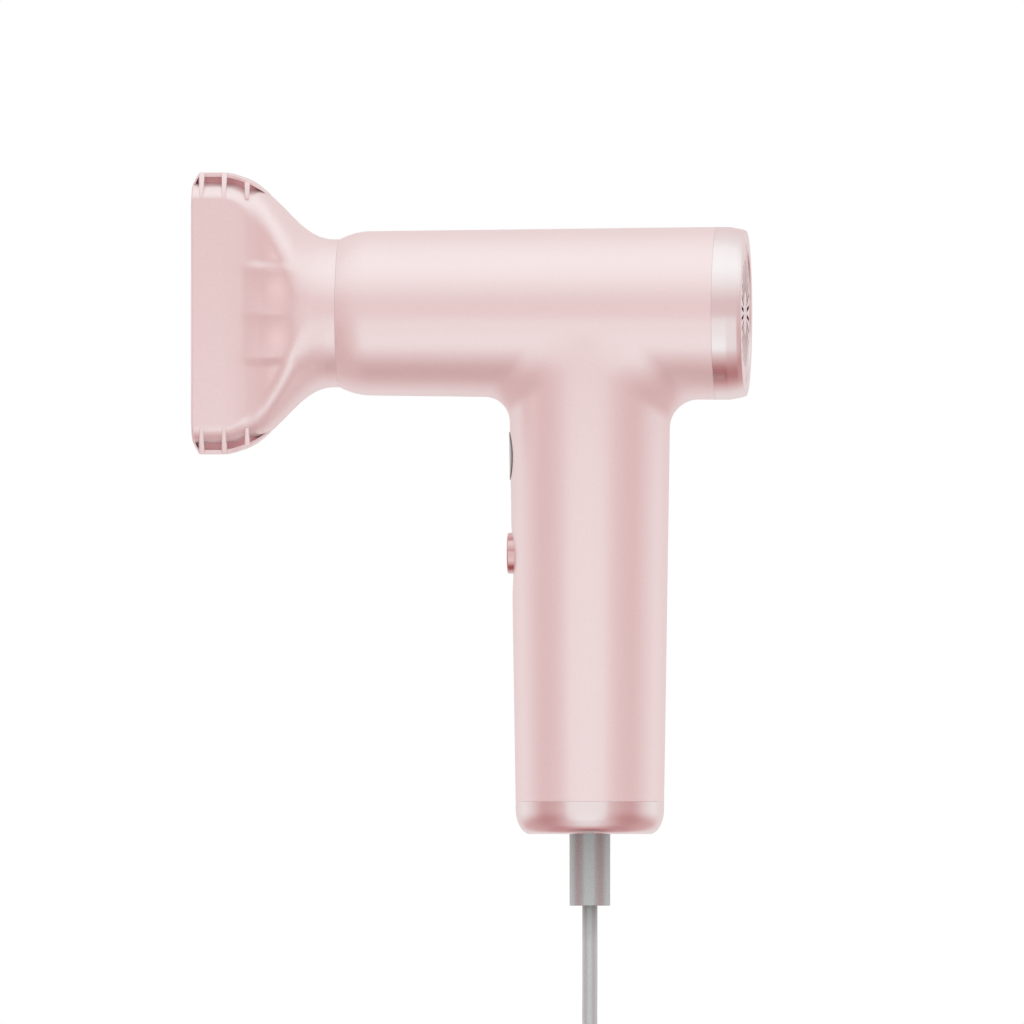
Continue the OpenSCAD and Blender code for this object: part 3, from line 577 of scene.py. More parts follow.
def cut_round_hole(bm, z, radius):
    """A round hole in the handle's front, with a rounded lip and a short wall behind it."""
    nearby = radius + 2

    def away(v):
        return math.hypot(v[1], v[2] - z)

    def front_faces(reach):
        return [f for f in bm.faces if f.calc_center_median()[0] < 0
                and away(f.calc_center_median()) < reach]

    edges = list({e for f in front_faces(nearby) for e in f.edges})
    bmesh.ops.subdivide_edges(bm, edges=edges, cuts=1, use_grid_fill=True)
    bmesh.ops.delete(bm, geom=front_faces(radius), context="FACES")
    rim = [v for v in bm.verts if v.is_boundary and v.co.x < 0 and away(v.co) < nearby]
    flat = np.array([(v.co.x, v.co.y, v.co.z - z) for v in rim])
    flat[:, 1:] *= (radius / np.hypot(flat[:, 1], flat[:, 2]))[:, None]
    flat[:, 2] += z
    for v, p in zip(rim, snap_x(flat)):
        v.co = p
    edges = [e for e in bm.edges if e.is_boundary and e.verts[0] in set(rim)
             and e.verts[1] in set(rim)]
    for inward, depth in ((0.02, 0.12), (0.1, 0.3), (0, 1.8)):
        grown = bmesh.ops.extrude_edge_only(bm, edges=edges)["geom"]
        edges = [g for g in grown if isinstance(g, bmesh.types.BMEdge)]
        for v in [g for g in grown if isinstance(g, bmesh.types.BMVert)]:
            scale = 1 - inward / radius
            v.co = (v.co.x + depth, v.co.y * scale, z + (v.co.z - z) * scale)


def roll_rim(bm, centre, axis, end_radius):
    """Turns an open end inward with a small rounded edge and a wall behind it."""
    centre, axis = Vector(centre), Vector(axis)
    edges = [e for e in bm.edges
             if e.is_boundary and all((v.co - centre).dot(axis) > -1 for v in e.verts)]
    lip = RIM_ROUNDING
    profile = [(lip - lip * math.cos(t), lip - lip * math.sin(t))
               for t in (math.pi / 8 * k for k in range(1, 5))]
    for drop, back in profile + [(RIM_WALL, 0), (RIM_WALL, RIM_DEPTH)]:
        grown = bmesh.ops.extrude_edge_only(bm, edges=edges)["geom"]
        edges = [g for g in grown if isinstance(g, bmesh.types.BMEdge)]
        for v in [g for g in grown if isinstance(g, bmesh.types.BMVert)]:
            along = (v.co - centre).dot(axis)
            radial = (v.co - centre) - axis * along
            v.co = centre + radial.normalized() * (end_radius - drop) - axis * back


def make_housing():
    mesh = body_blank(voxel=1.0)
    points = np.array([v.co for v in mesh.vertices])
    edges = np.array([e.vertices[:] for e in mesh.edges])
    points = relax(onto_body(points, 8), edges, 4)
    mesh.vertices.foreach_set("co", points.astype(np.float32).ravel())
    bm = bmesh.new()
    bm.from_mesh(mesh)
    ends = [((FRONT_X, 0, AXIS_Z), (-1, 0, 0), NECK_R), ((REAR_X, 0, AXIS_Z), (1, 0, 0), REAR_R),
            ((0, 0, HANDLE_END_Z), (0, 0, -1), HANDLE_END_R)]
    for centre, axis, _ in ends:
        cut = [c - RIM_ROUNDING * a for c, a in zip(centre, axis)]
        bmesh.ops.bisect_plane(bm, geom=bm.verts[:] + bm.edges[:] + bm.faces[:],
                               plane_co=cut, plane_no=axis, clear_outer=True)
    cut_round_hole(bm, POWER_Z, POWER_R + BUTTON_GAP)
    cut_round_hole(bm, MODE_Z, MODE_R + BUTTON_GAP)
    for end in ends:
        roll_rim(bm, *end)
    bmesh.ops.recalc_face_normals(bm, faces=bm.faces)
    bm.normal_update()
    out = bpy.data.meshes.new("housing_shell")
    bm.to_mesh(out)
    bm.free()
    # Exact normals on the painted skin, and plain smooth ones inside the rims and holes
    places = np.array([v.co for v in out.vertices])
    exact = gradient(places)
    exact /= np.maximum(np.linalg.norm(exact, axis=1), 1e-9)[:, None]
    on_skin = np.abs(body_distance(places)) < 0.02
    out.shade_smooth()
    face_normals = np.array([f.normal for f in out.polygons])
    normals = []
    for face in out.polygons:
        n = face_normals[face.index]
        flat = all(on_skin[i] for i in face.vertices) and n @ exact[face.vertices[0]] > 0.7
        for i in face.vertices:
            normals.append(tuple(exact[i]) if flat else (0.0, 0.0, 0.0))
    out.transform(Matrix.Scale(MM, 4))
    out.normals_split_custom_set(normals)
    obj = add_object("housing_shell", out)
    place(obj, "dryer", "shell", ["housing"])


# ---------------------------------------------------------------- nozzle

NECK_FRONT_X = node_box("nozzle_neck")[0][0]
NOZZLE_REAR, NOZZLE_REAR_BEVEL = -5.98, 0.07
# Distance in front of the neck, half height, half thickness, corner radius, corner flatness:
# at flatness 0 the corner is an arc, at 1 a straight bevel
NOZZLE_SKIN = [
    (-6, 22.4, 22.4, 22.4, 0), (-3.2, 22.45, 22.45, 22.4, 0), (-1.4, 22.8, 22.7, 22.6, 0),
    (0, 23.2, 22.9, 22.8, 0), (2.2, 24.3, 23.0, 22.8, 0), (4, 25.5, 22.85, 22.5, 0),
    (6, 27.1, 22.35, 21.4, 0), (7.5, 28.5, 21.65, 20.1, 0), (9, 29.95, 20.7, 18.7, 0),
    (11, 32.0, 19.2, 16.7, 0), (12.7, 33.6, 17.9, 15.0, 0), (14.6, 35.4, 16.55, 13.3, 0),
    (16.4, 36.7, 15.45, 12.0, 0), (18, 37.5, 14.65, 10.8, 0), (20, 38.1, 13.85, 9.2, 0.1),
    (22, 38.55, 13.2, 7.2, 0.3), (24, 38.85, 12.85, 5.7, 0.45), (26, 39.1, 12.65, 4.9, 0.5),
    (29, 39.35, 12.5, 4.5, 0.5), (33, 39.4, 12.5, 4.5, 0.5), (37.5, 39.4, 12.5, 4.5, 0.5)]
MOUTH_LIP = [(37.9, 39.25, 12.45, 4.4, 0.5), (38.15, 38.8, 12.3, 4.2, 0.5),
             (38.3, 38.0, 12.1, 4.0, 0.5), (38.4, 36.6, 11.8, 3.8, 0.5)]
# The air passage, from the mouth back to the neck's rear, without a corner flatness
NOZZLE_BORE = [
    (38.4, 35.6, 4.6, 4.0), (38.2, 35.1, 4.05, 3.7), (37.7, 34.7, 3.7, 3.4), (37, 34.6, 3.6, 3.4),
    (34, 34.7, 3.8, 3.6), (28, 34.7, 5.0, 4.6), (22, 34, 7.2, 6.6), (16, 31.5, 10, 9.0),
    (10, 27, 14, 13), (4, 20.8, 17.4, 17.0), (1, 18.7, 18.5, 18.4), (-1.3, 18.6, 18.6, 18.6),
    (-1.3, 20.45, 20.45, 20.45), (NOZZLE_REAR, 20.45, 20.45, 20.45)]
# The pad on each side: distance in front of the neck, its rise, the depth of its two scallops
PAD = [(5, 0, 0), (8.4, 0.25, 0.3), (10.8, 0.6, 0.55), (13.2, 0.85, 0.7), (15.6, 0.95, 0.75),
       (18, 0.95, 0.65), (20.5, 0.65, 0.45), (23, 0.2, 0.25), (26, 0, 0)]
PAD_LEDGE = 2.9
PAD_HALF_HEIGHT, PAD_NARROWING = 13.9, 1.3


def pad_half_height(s):
    rear, front = PAD[0][0], PAD[-1][0]
    return PAD_HALF_HEIGHT - PAD_NARROWING * (front - s) / (front - rear)


def quadrant(h, t, r, knee, low_steps, high_steps, flatness=0):
    """A quarter of a rounded rectangle, as (y, z) from side to top, with a point at z = knee.

    h is half its height, t half its thickness and r its corner's radius.
    """
    quarter_turn = math.pi / 2
    r = min(r, h - 0.001, t - 0.001)
    side, arc, top = h - r, r * quarter_turn, t - r

    def rise(a):
        return r * ((1 - flatness) * np.sin(a) + flatness * a / quarter_turn)

    angles = np.linspace(0, quarter_turn, 200)
    knee_at = knee if knee < side else side + r * np.interp(knee - side, rise(angles), angles)
    whole = side + arc + top
    stations = [knee_at * k / low_steps for k in range(low_steps)] + [
        knee_at + (whole - knee_at) * k / high_steps for k in range(high_steps + 1)]
    out = []
    for d in stations:
        if d < side:
            out.append((t, d))
        elif d < side + arc:
            a = (d - side) / r
            out.append((t - r + rise(quarter_turn - a), side + rise(a)))
        else:
            out.append((max(whole - d, 0), h))
    return out


def nozzle_ring(s, h, t, r, flatness=0, pad=False):
    """One closed section of the nozzle, s millimetres in front of the neck."""
    knee = pad_half_height(s)
    quarter = quadrant(h, t, r, knee, 16, 44, flatness)
    if pad and PAD[0][0] < s < PAD[-1][0]:
        raised, scallop = smooth_table(PAD, s)
        half = knee / 2

        def lift(z):
            ledge = ease(np.clip((knee + PAD_LEDGE - z) / PAD_LEDGE, 0, 1))
            return raised * ledge - scallop * max(0.0, 1 - ((z - half) / half)**2)

        quarter = [(y + lift(z), z) for y, z in quarter]
    upper = quarter + [(-y, z) for y, z in reversed(quarter[:-1])]
    ring = upper + [(y, -z) for y, z in reversed(upper[1:-1])]
    return [(NECK_FRONT_X - s, y, AXIS_Z + z) for y, z in ring]


def make_nozzle():
    """The whole nozzle wall: the skin out to the mouth, the lip, and the air passage back."""
    first, last = NOZZLE_REAR, NOZZLE_SKIN[-1][0]
    step = 0.45
    count = int((last - first) / step)
    edge_r = NECK_R - NOZZLE_REAR_BEVEL
    rings = [nozzle_ring(first, edge_r, edge_r, edge_r),
             nozzle_ring(first + NOZZLE_REAR_BEVEL, NECK_R, NECK_R, NECK_R)]
    for k in range(1, count + 1):
        s = first + (last - first) * k / count
        rings.append(nozzle_ring(s, *smooth_table(NOZZLE_SKIN, s), pad=True))
    rings += [nozzle_ring(*row) for row in MOUTH_LIP + NOZZLE_BORE]
    obj = loft("nozzle_wall", rings)
    place(obj, "nozzle", "shell", ["nozzle_neck", "nozzle_shell", "nozzle_duct"])


# A grip band seen from the side: points of its outer edge, each with one of its inner edge,
# as distance in front of the neck and height
BAND = [(37.9, 39.3, 37.3, 39.0), (37.05, 40.9, 36.6, 40.6), (36.15, 42.35, 35.8, 41.5),
        (35.6, 42.7, 35.3, 41.4), (33, 42.7, 33, 41.35), (29.2, 42.7, 29.2, 41.35),
        (27.6, 42.5, 27.5, 41.15), (26, 42.1, 25.8, 40.8), (24.2, 41.5, 23.9, 40.25),
        (22.3, 40.8, 21.9, 39.6), (20.5, 39.95, 20.1, 38.85), (18.6, 38.75, 18.2, 37.75),
        (16.8, 37.4, 16.4, 36.5), (15.2, 36.0, 14.9, 35.2)]
# Half width of a band, from its tail to the mouth
BAND_HALF_WIDTH = [(14, 4.2), (17, 6.4), (19, 8.6), (20.5, 10.0), (22, 10.2), (27, 9.0),
                   (38, 9.0)]
WEB_INSET, WEB_SUNK, WEB_INTO_BAND = 2.2, 1.5, 0.3
# Each rib: distance in front of the neck, height of its top
RIBS = [(35.2, 42.5), (28.35, 42.5), (21.35, 39.9)]
RIB_WIDTH_TOP, RIB_WIDTH_FOOT = 1.75, 1.2
RIB_FOOT = 34.7
RIB_PROUD, RIB_OFF_SKIN = 0.3, 0.04
RIB_LEAN_POWER = 1.25


def band_half_width(s):
    return float(smooth_table(BAND_HALF_WIDTH, s)[0])


def band_rings(side):
    """Sections of the band: a thin strip with rounded edges between its two edge lines."""
    outer = smooth_path([(s, z, 0) for s, z, _, _ in BAND], 5)
    inner = smooth_path([(s, z, 0) for _, _, s, z in BAND], 5)
    rings = []
    for p, q in zip(outer, inner):
        thick = np.linalg.norm(q - p)
        inward = (q - p) / thick
        half = band_half_width(p[0])
        soft = min(0.3, thick / 3)
        section = rounded([(-half, 0, soft), (half, 0, soft), (half, thick, 0.15),
                           (-half, thick, 0.15)], 4)
        rings.append([(NECK_FRONT_X - (p[0] + inward[0] * d), y,
                       AXIS_Z + side * (p[1] + inward[1] * d)) for y, d in section])
    return rings


def make_rib(name, s, top, side):
    """A rib that leans in from the nozzle's flat side to the band's edge."""
    height, thickness, corner, _ = smooth_table(NOZZLE_SKIN, s)
    past_flat = max(0.0, RIB_FOOT - (height - corner))
    foot = thickness - corner + math.sqrt(corner**2 - past_flat**2) + RIB_OFF_SKIN
    lean = foot - band_half_width(s) - RIB_PROUD
    soft = 0.3
    rings = []
    for u in np.linspace(0, 1, 15):
        half = (RIB_WIDTH_FOOT + (RIB_WIDTH_TOP - RIB_WIDTH_FOOT) * u) / 2
        reach = foot - lean * u**RIB_LEAN_POWER
        rings.append([(NECK_FRONT_X - s + a, y, AXIS_Z + side * (RIB_FOOT + (top - RIB_FOOT) * u))
                      for a, y in rounded([(-half, -reach, soft), (half, -reach, soft),
                                           (half, reach, soft), (-half, reach, soft)], 4)])
    return loft(name, rings, closed=False)


def make_grip_bands():
    """A band at each end of the mouth, on three ribs a side, with a web along the middle."""
    pieces = []
    for side, word in ((1, "top"), (-1, "bottom")):
        pieces.append(loft(f"grip_band_{word}", band_rings(side), closed=False))
        for number, (s, top) in enumerate(RIBS, 1):
            pieces.append(make_rib(f"grip_rib_{word}_{number}", s, top, side))
        web = []
        for _, _, s, z in BAND[1:]:
            low = float(smooth_table(NOZZLE_SKIN, s)[0]) - WEB_SUNK
            half, high = band_half_width(s) - WEB_INSET, z + WEB_INTO_BAND
            web.append([(NECK_FRONT_X - s, y, AXIS_Z + side * v)
                        for y, v in ((-half, low), (half, low), (half, high), (-half, high))])
        pieces.append(loft(f"grip_web_{word}", web, closed=False))
    for piece in pieces:
        # The webs take the darker pink that paints the shade in the band pockets
        place(piece, "nozzle", "shell", material=WEB_PAINTED_SHADE if "web" in piece.name else None)
    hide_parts("nozzle_grip_bands")


# ---------------------------------------------------------------- rear cover

COVER_X = REAR_X + SEAM
COVER_END_X = node_box("rear_cover")[1][0]
GRILLE_X, GRILLE_END_X = node_box("rear_grille")[0][0], node_box("rear_grille")[1][0]
COVER_BORE_R = 24.3
GRILLE_R, GRILLE_SEAT_R = 20.8, 20.9
GRILLE_EDGE = 0.12
SLOTS = 26
SLOT_HALF, SLOT_CORNER = 0.55, 0.54
SLOT_IN_R, SLOT_OUT_R = 6.6, 16.4
DOT_R, DOT_HEIGHT, DOT_SUNK = 0.7, 0.45, 0.25
DOT_SPOKE, DOT_TURN = 19.0, 0.35


def make_rear_cover():
    """The cover's ring: radius, place along the barrel and corner radius of its outline."""
    ledge_x, ledge_end_x, ledge_r = 41.2, 43.2, 20.4
    outline = rounded([
        (COVER_BORE_R, COVER_X, 0), (REAR_R, COVER_X, RIM_ROUNDING), (REAR_R, 42.6, 7),
        (25.45, 46.3, 5), (25.0, COVER_END_X, 0.4), (GRILLE_SEAT_R, COVER_END_X, 0.3),
        (GRILLE_SEAT_R, ledge_end_x, 0), (ledge_r, ledge_end_x, 0), (ledge_r, ledge_x, 0),
        (COVER_BORE_R, ledge_x, 0)], 9)
    obj = lathe("rear_cover_ring", outline, on_barrel, 240)
    place(obj, "rear_cover", "metallic", ["rear_cover"])


def make_rear_grille():
    """A thin plate with rounded radial slots, its edges softened."""
    curve = bpy.data.curves.new("grille", "CURVE")
    curve.dimensions = "2D"
    curve.fill_mode = "BOTH"
    curve.extrude = ((GRILLE_END_X - GRILLE_X) / 2 - GRILLE_EDGE) * MM
    curve.bevel_depth = GRILLE_EDGE * MM
    curve.bevel_resolution = 1
    curve.offset = -GRILLE_EDGE * MM

    def turned(u, v, turn):
        return (u * math.cos(turn) - v * math.sin(turn), u * math.sin(turn) + v * math.cos(turn))

    def outline(points):
        spline = curve.splines.new("POLY")
        spline.points.add(len(points) - 1)
        for point, (u, v) in zip(spline.points, points):
            point.co = (u * MM, v * MM, 0, 1)
        spline.use_cyclic_u = True

    segments = 180
    outline([turned(GRILLE_R, 0, math.tau * k / segments) for k in range(segments)])
    slot = rounded([(SLOT_IN_R, -SLOT_HALF, SLOT_CORNER), (SLOT_OUT_R, -SLOT_HALF, SLOT_CORNER),
                    (SLOT_OUT_R, SLOT_HALF, SLOT_CORNER), (SLOT_IN_R, SLOT_HALF, SLOT_CORNER)], 5)
    for k in range(SLOTS):
        outline([turned(u, v, math.tau * k / SLOTS) for u, v in slot])
    blank = add_object("blank", curve)
    evaluated = blank.evaluated_get(bpy.context.evaluated_depsgraph_get())
    mesh = bpy.data.meshes.new_from_object(evaluated)
    bpy.data.objects.remove(blank)
    clean_up(mesh, weld=1e-6)
    mesh.transform(Matrix.Translation(((GRILLE_X + GRILLE_END_X) / 2 * MM, 0, AXIS_Z * MM))
                   @ Matrix.Rotation(math.pi / 2, 4, "Y"))
    mesh.name = "rear_grille_plate"
    mesh.materials.append(MATERIALS["metallic"])
    mesh.materials.append(SLOT_WALL_SHADE)
    # The slot walls and their softened edges get the painted shade; the rest keeps the rose metal
    for face in mesh.polygons:
        spoke = math.hypot(face.center.y, face.center.z - AXIS_Z * MM) / MM
        face.material_index = int(abs(face.normal.x) < 0.5 and spoke < SLOT_OUT_R + 0.5)
    place(add_object("rear_grille_plate", mesh), "rear_cover", "metallic", ["rear_grille"])


def make_index_dots():
    """Two small domes on the grille's rim."""
    base = GRILLE_END_X - DOT_SUNK
    dome = [(DOT_R * math.sin(a), base + DOT_HEIGHT * math.cos(a))
            for a in np.linspace(0.02, math.pi / 2, 8)] + [(DOT_R, base - 0.15),
                                                          (0.02, base - 0.15)]
    for number, turn in enumerate((-DOT_TURN, DOT_TURN), 1):
        centre = (DOT_SPOKE * math.sin(turn), AXIS_Z + DOT_SPOKE * math.cos(turn))
        dot = lathe(f"cover_index_dot_{number}", dome, lambda r, x, a: (
            x, centre[0] + r * math.sin(a), centre[1] + r * math.cos(a)), 24)
        place(dot, "rear_cover", "metallic")


# ---------------------------------------------------------------- buttons, cap and relief

BUTTON_BACK_X, BUTTON_EDGE = -19.4, 0.45
MODE_PROUD, MODE_EDGE, MODE_DEPTH = 0.3, 0.35, 3.2


def on_button(z):
    return lambda r, x, a: (x, r * math.sin(a), z + r * math.cos(a))


def make_power_button():
    face = node_box("power_button")[0][0]
    outline = rounded([(0.01, face, 0), (POWER_R, face, BUTTON_EDGE), (POWER_R, BUTTON_BACK_X, 0),
                       (0.01, BUTTON_BACK_X, 0)], 8)
    obj = lathe("power_button_cap", outline, on_button(POWER_Z), 120)
    place(obj, "power_button", "metallic", ["power_button"], BUTTON_METAL)


def make_mode_button():
    """A round disc whose face follows the handle's curve, just proud of it."""
    rings = []
    segments, steps = 96, 14
    profile = [(MODE_R * k / steps, 0) for k in range(1, steps)]
    profile += [(MODE_R - MODE_EDGE + MODE_EDGE * math.sin(a), MODE_EDGE * (1 - math.cos(a)))
                for a in np.linspace(0.2, math.pi / 2, 6)]
    profile += [(MODE_R, MODE_DEPTH), (0.4, MODE_DEPTH)]
    for r, back in profile:
        ring = []
        for k in range(segments):
            a = math.tau * k / segments
            y, z = r * math.sin(a), MODE_Z + r * math.cos(a)
            x = -math.sqrt((handle_radius(z) + MODE_PROUD)**2 - y * y)
            ring.append((x + back, y, z))
        rings.append(ring)
    obj = loft("mode_button_cap", rings, closed=False)
    place(obj, "mode_button", "lens", ["mode_button"])


# The cap's side bows in towards its flat bottom along a quarter of an ellipse
CAP_BOW, CAP_BOW_HEIGHT = 4.5, 7.7
CAP_SEAT, CAP_WALL, CAP_BASE, CAP_SPIGOT = 2.1, 1.5, 2.4, 2.8


def make_bottom_cap():
    """A cup around the strain relief, with a spigot up into the handle."""
    low, high = node_box("bottom_cap")[0][2], HANDLE_END_Z - SEAM
    bore = RELIEF_R + SEAM
    inner = HANDLE_END_R - CAP_SEAT
    bowed = [(HANDLE_END_R - CAP_BOW * (1 - math.cos(a)), low + CAP_BOW_HEIGHT * (1 - math.sin(a)))
             for a in np.linspace(math.pi / 2, 0, 28)]
    outline = ([(bore, low)] + bowed
               + [(HANDLE_END_R, high - RIM_ROUNDING), (HANDLE_END_R - RIM_ROUNDING, high),
                  (inner, high), (inner, high + CAP_SPIGOT), (inner - CAP_WALL, high + CAP_SPIGOT),
                  (inner - CAP_WALL, low + CAP_BASE), (bore, low + CAP_BASE)])
    obj = lathe("bottom_cap_cup", outline, on_handle, 240)
    place(obj, "dryer", "metallic", ["bottom_cap"])


def make_strain_relief():
    """A slightly tapered sleeve, held inside the cap by its flange."""
    r, flange = RELIEF_R, 2
    top = node_box("strain_relief")[1][2]
    bore = CORD_D / 2 + SEAM
    outline = rounded([(bore, EXIT_Z, 0.2), (r - 0.05, EXIT_Z, 0.25), (r, top - flange, 0),
                       (r + flange, top - flange, 0), (r + flange, top, 0), (bore, top, 0)], 6)
    obj = lathe("strain_relief_sleeve", outline, on_handle, 120)
    place(obj, "dryer", "cord", ["strain_relief"], RELIEF_VINYL)


# ---------------------------------------------------------------- plug and tie


# Height above the plug's face, half width, half length, corner radius
PLUG_ROWS = [(0, 7.2, 16.7, 7.0), (0.8, 8.0, 17.5, 7.8), (5, 7.9, 17.3, 7.7),
             (9, 7.0, 15.4, 6.8), (14, 6.4, 13.2, 6.2), (19, 6.2, 11.0, 6.0),
             (22.5, 5.4, 7.6, 5.2), (24.5, 4.8, 5.4, 4.7), (28, 4.1, 4.2, 4.05),
             (32, 3.6, 3.6, 3.55), (PLUG_TOP_Z - PLUG_FACE_Z, 3.2, 3.2, 3.15)]
SLEEVE_MOUTH = 0.72  # the sleeve's end face narrows to this share of its width
TIE_THICKNESS, TIE_CORNER, TIE_EDGE = 1.4, 3.0, 0.4


def make_plug():
    """A two-pin plug: a waisted grip on a flat face, with a short sleeve for the cord."""
    rings = []
    for z in np.linspace(PLUG_FACE_Z, PLUG_TOP_Z, 60):
        width, length, corner = smooth_table(PLUG_ROWS, z - PLUG_FACE_Z)
        quarter = quadrant(length, width, corner, length / 2, 6, 14)
        upper = quarter + [(-a, b) for a, b in reversed(quarter[:-1])]
        ring = upper + [(a, -b) for a, b in reversed(upper[1:-1])]
        rings.append([(PLUG_X + a, PLUG_Y + b, z) for a, b in ring])
    rings.append([(PLUG_X + (x - PLUG_X) * SLEEVE_MOUTH, PLUG_Y + (y - PLUG_Y) * SLEEVE_MOUTH, z)
                  for x, y, z in rings[-1]])
    obj = loft("plug_grip", rings, closed=False)
    return place(obj, "dryer", "cord", ["plug_body"])


def make_tie():
    """A closed band around the coil's section."""
    low, high = node_box("cord_tie")
    middle = (low[2] + high[2]) / 2
    half = (high[2] - low[2]) / 2
    thick, corner, soft = TIE_THICKNESS, TIE_CORNER, TIE_EDGE
    loop = rounded([(low[0], low[1], corner), (high[0], low[1], corner),
                    (high[0], high[1], corner), (low[0], high[1], corner)], 8)
    section = rounded([(0, -half, soft), (thick, -half, soft), (thick, half, soft),
                       (0, half, soft)], 3)
    centre = np.array(((low[0] + high[0]) / 2, (low[1] + high[1]) / 2))
    rings = []
    for i, p in enumerate(loop):
        before, after = np.array(loop[i - 1]), np.array(loop[(i + 1) % len(loop)])
        along = after - before
        inward = np.array((-along[1], along[0]))
        inward /= np.linalg.norm(inward)
        if inward @ (centre - p) < 0:
            inward = -inward
        rings.append([(p[0] + inward[0] * d, p[1] + inward[1] * d, middle + z)
                      for d, z in section])
    return place(loft("cord_tie_strap", rings), "dryer", "dark_plastic", ["cord_tie"])


# ---------------------------------------------------------------- studio

FLOOR_Z = node_box("plug_pins")[0][2] - 0.5


def make_floor():
    """A round sheet of pale paper under the plug."""
    radius, segments = 1600, 96
    points = [(0, 0, FLOOR_Z)] + [on_handle(radius, FLOOR_Z, math.tau * k / segments)
                                  for k in range(segments)]
    faces = [(0, k + 1, (k + 1) % segments + 1) for k in range(segments)]
    floor = add_mesh("studio_floor", points, faces, weighted=False)
    material, nodes, links, shader = start_material("floor_paper")
    links.new(ramp(nodes, links, noise(nodes, links, 40),
                   [(NOISE_LOW, (0.86, 0.82, 0.82)), (NOISE_HIGH, (0.88, 0.84, 0.84))]),
              shader.inputs["Base Color"])
    shader.inputs["Roughness"].default_value = 0.9
    bump(nodes, links, shader, noise(nodes, links, 900), 0.05, 0.0001)
    floor.data.materials.append(material)
    floor.visible_glossy = False


# The studio around the dryer, as brightness against height: -1 is straight down, 1 straight up
FRONT_WALL = [(-1.0, 0.12), (-0.985, 0.14), (-0.91, 0.46), (-0.77, 0.79), (-0.5, 0.63),
              (-0.15, 0.57), (0.3, 0.555), (0.5, 0.72), (0.77, 0.93), (0.9, 1.0)]
BACK_WALL = [(-1.0, 0.12), (-0.98, 0.22), (-0.9, 0.48), (-0.75, 0.72), (-0.5, 0.76), (0.0, 0.68),
             (0.55, 0.66), (0.64, 0.68), (0.9, 0.77), (0.995, 0.93)]
# Factor on the walls, from straight in front, -1, round to straight behind, 1: first from eye
# level up, then below it
ROUND = [(-0.9, 1.0), (-0.56, 0.70), (-0.26, 0.64), (0.1, 1.0), (0.53, 1.22), (0.84, 1.02)]
ROUND_LOW = [(-0.97, 1.0), (-0.85, 0.78), (-0.55, 0.46), (-0.2, 0.40), (0.3, 0.50), (0.7, 0.58),
             (0.95, 1.0)]
# Shares against height or depth: of the back wall, of the factor, of its lower table
BACK_SHARE = [(-0.3, 0.0), (0.3, 1.0)]
FACTOR_SHARE = [(-0.97, 0.0), (-0.85, 1.0), (0.1, 1.0), (0.5, 0.0)]
LOW_SHARE = [(-0.36, 1.0), (-0.1, 0.0)]
# Colour of the studio's surfaces against their brightness
STUDIO_TINT = [(0.0, (0.22, 0.02, 0.02)), (0.12, (0.36, 0.12, 0.12)), (0.24, (0.50, 0.24, 0.24)),
               (0.395, (0.64, 0.395, 0.395)), (0.565, (0.74, 0.565, 0.565)),
               (0.755, (0.84, 0.755, 0.755)), (0.87, (0.91, 0.87, 0.87)), (1.0, (1.0, 1.0, 1.0))]


DIFFUSE_STRENGTH = 1.2  # the world's strength for diffuse rays; it is 1 for all others


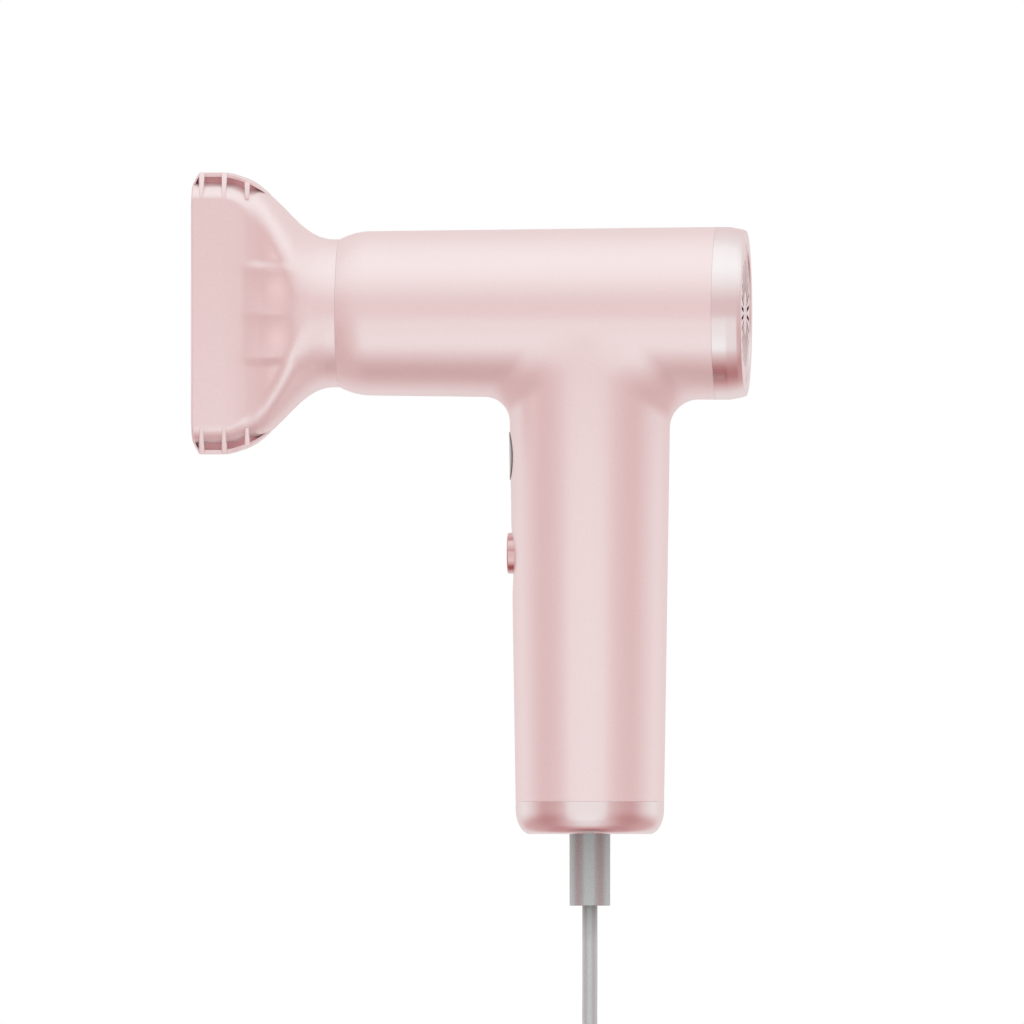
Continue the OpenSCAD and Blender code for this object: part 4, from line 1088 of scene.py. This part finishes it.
def make_world():
    """The studio around the dryer: seen in reflections, but plain white to the camera."""
    world = bpy.data.worlds.new("studio")
    bpy.context.scene.world = world
    world.use_nodes = True
    nodes, links = world.node_tree.nodes, world.node_tree.links
    nodes.clear()

    def feed(socket, value):
        if isinstance(value, bpy.types.NodeSocket):
            links.new(value, socket)
        else:
            socket.default_value = value

    def maths(kind, operation, *values):
        node = nodes.new(kind)
        node.operation = operation
        for socket, value in zip(node.inputs, values):
            feed(socket, value)
        return node.outputs[0]

    def grey_ramp(value, stops):
        """A ramp of (position from -1 to 1, brightness) stops."""
        half = maths("ShaderNodeMath", "MULTIPLY_ADD", value, 0.5, 0.5)
        return ramp(nodes, links, half, [((p + 1) / 2, (v, v, v)) for p, v in stops])

    def blend(factor, a, b):
        node = nodes.new("ShaderNodeMix")
        node.data_type = "RGBA"
        feed(node.inputs["Factor"], factor)
        feed(node.inputs[6], a)
        feed(node.inputs[7], b)
        return node.outputs[2]

    def axes(vector):
        node = nodes.new("ShaderNodeSeparateXYZ")
        links.new(vector, node.inputs["Vector"])
        return node.outputs

    direction = nodes.new("ShaderNodeTexCoord").outputs["Generated"]
    height, depth = axes(direction)["Z"], axes(direction)["Y"]
    level = maths("ShaderNodeVectorMath", "MULTIPLY", direction, (1, 1, 0))
    compass = axes(maths("ShaderNodeVectorMath", "NORMALIZE", level))["Y"]
    walls = blend(grey_ramp(depth, BACK_SHARE), grey_ramp(height, FRONT_WALL),
                  grey_ramp(height, BACK_WALL))
    # A ramp can't exceed 1, so the factor is halved here and doubled below
    factor = blend(grey_ramp(height, LOW_SHARE),
                   grey_ramp(compass, [(p, v / 2) for p, v in ROUND]),
                   grey_ramp(compass, [(p, v / 2) for p, v in ROUND_LOW]))
    factor = blend(grey_ramp(height, FACTOR_SHARE), (0.5, 0.5, 0.5, 1), factor)
    factor = maths("ShaderNodeVectorMath", "MULTIPLY", factor, (2, 2, 2))
    brightness = maths("ShaderNodeVectorMath", "MULTIPLY", walls, factor)
    tint = ramp(nodes, links, brightness, STUDIO_TINT)
    rays = nodes.new("ShaderNodeLightPath").outputs
    strength = maths("ShaderNodeMath", "MULTIPLY_ADD", rays["Is Diffuse Ray"],
                     DIFFUSE_STRENGTH - 1, 1)
    background = nodes.new("ShaderNodeBackground")
    links.new(blend(rays["Is Camera Ray"], tint, (1, 1, 1, 1)), background.inputs["Color"])
    links.new(strength, background.inputs["Strength"])
    output = nodes.new("ShaderNodeOutputWorld")
    links.new(background.outputs["Background"], output.inputs["Surface"])


# Each softbox: place, what it faces, width and height, power, colour
SOFTBOXES = {
    "front_softbox": ((-8, -260, -75), (-8, 0, -75), (320, 300), 0.072, (0.57, 1.0, 1.0)),
    "side_softbox": ((-260, -38, 99), (-95, -18, 99), (64, 26), 0.0036, (1.0, 1.0, 1.0))}


def add_softbox(name, location, target, size, power, colour):
    light = bpy.data.lights.new(name, "AREA")
    light.shape = "RECTANGLE"
    light.size, light.size_y = size[0] * MM, size[1] * MM
    light.energy = power
    light.color = colour
    obj = add_object(name, light)
    obj.location = Vector(location) * MM
    obj.rotation_euler = (Vector(target) - Vector(location)).to_track_quat("-Z", "Y").to_euler()


# ---------------------------------------------------------------- build

make_camera()
cord = make_cord(MATERIALS["cord"])
plug = make_plug()
tie = make_tie()
make_housing()
make_nozzle()
make_grip_bands()
make_rear_cover()
make_rear_grille()
make_index_dots()
make_power_button()
make_mode_button()
make_bottom_cap()
make_strain_relief()
finish_cad_nodes()
make_floor()
make_world()
for name, settings in SOFTBOXES.items():
    add_softbox(name, *settings)
bpy.context.scene.view_settings.view_transform = "Standard"
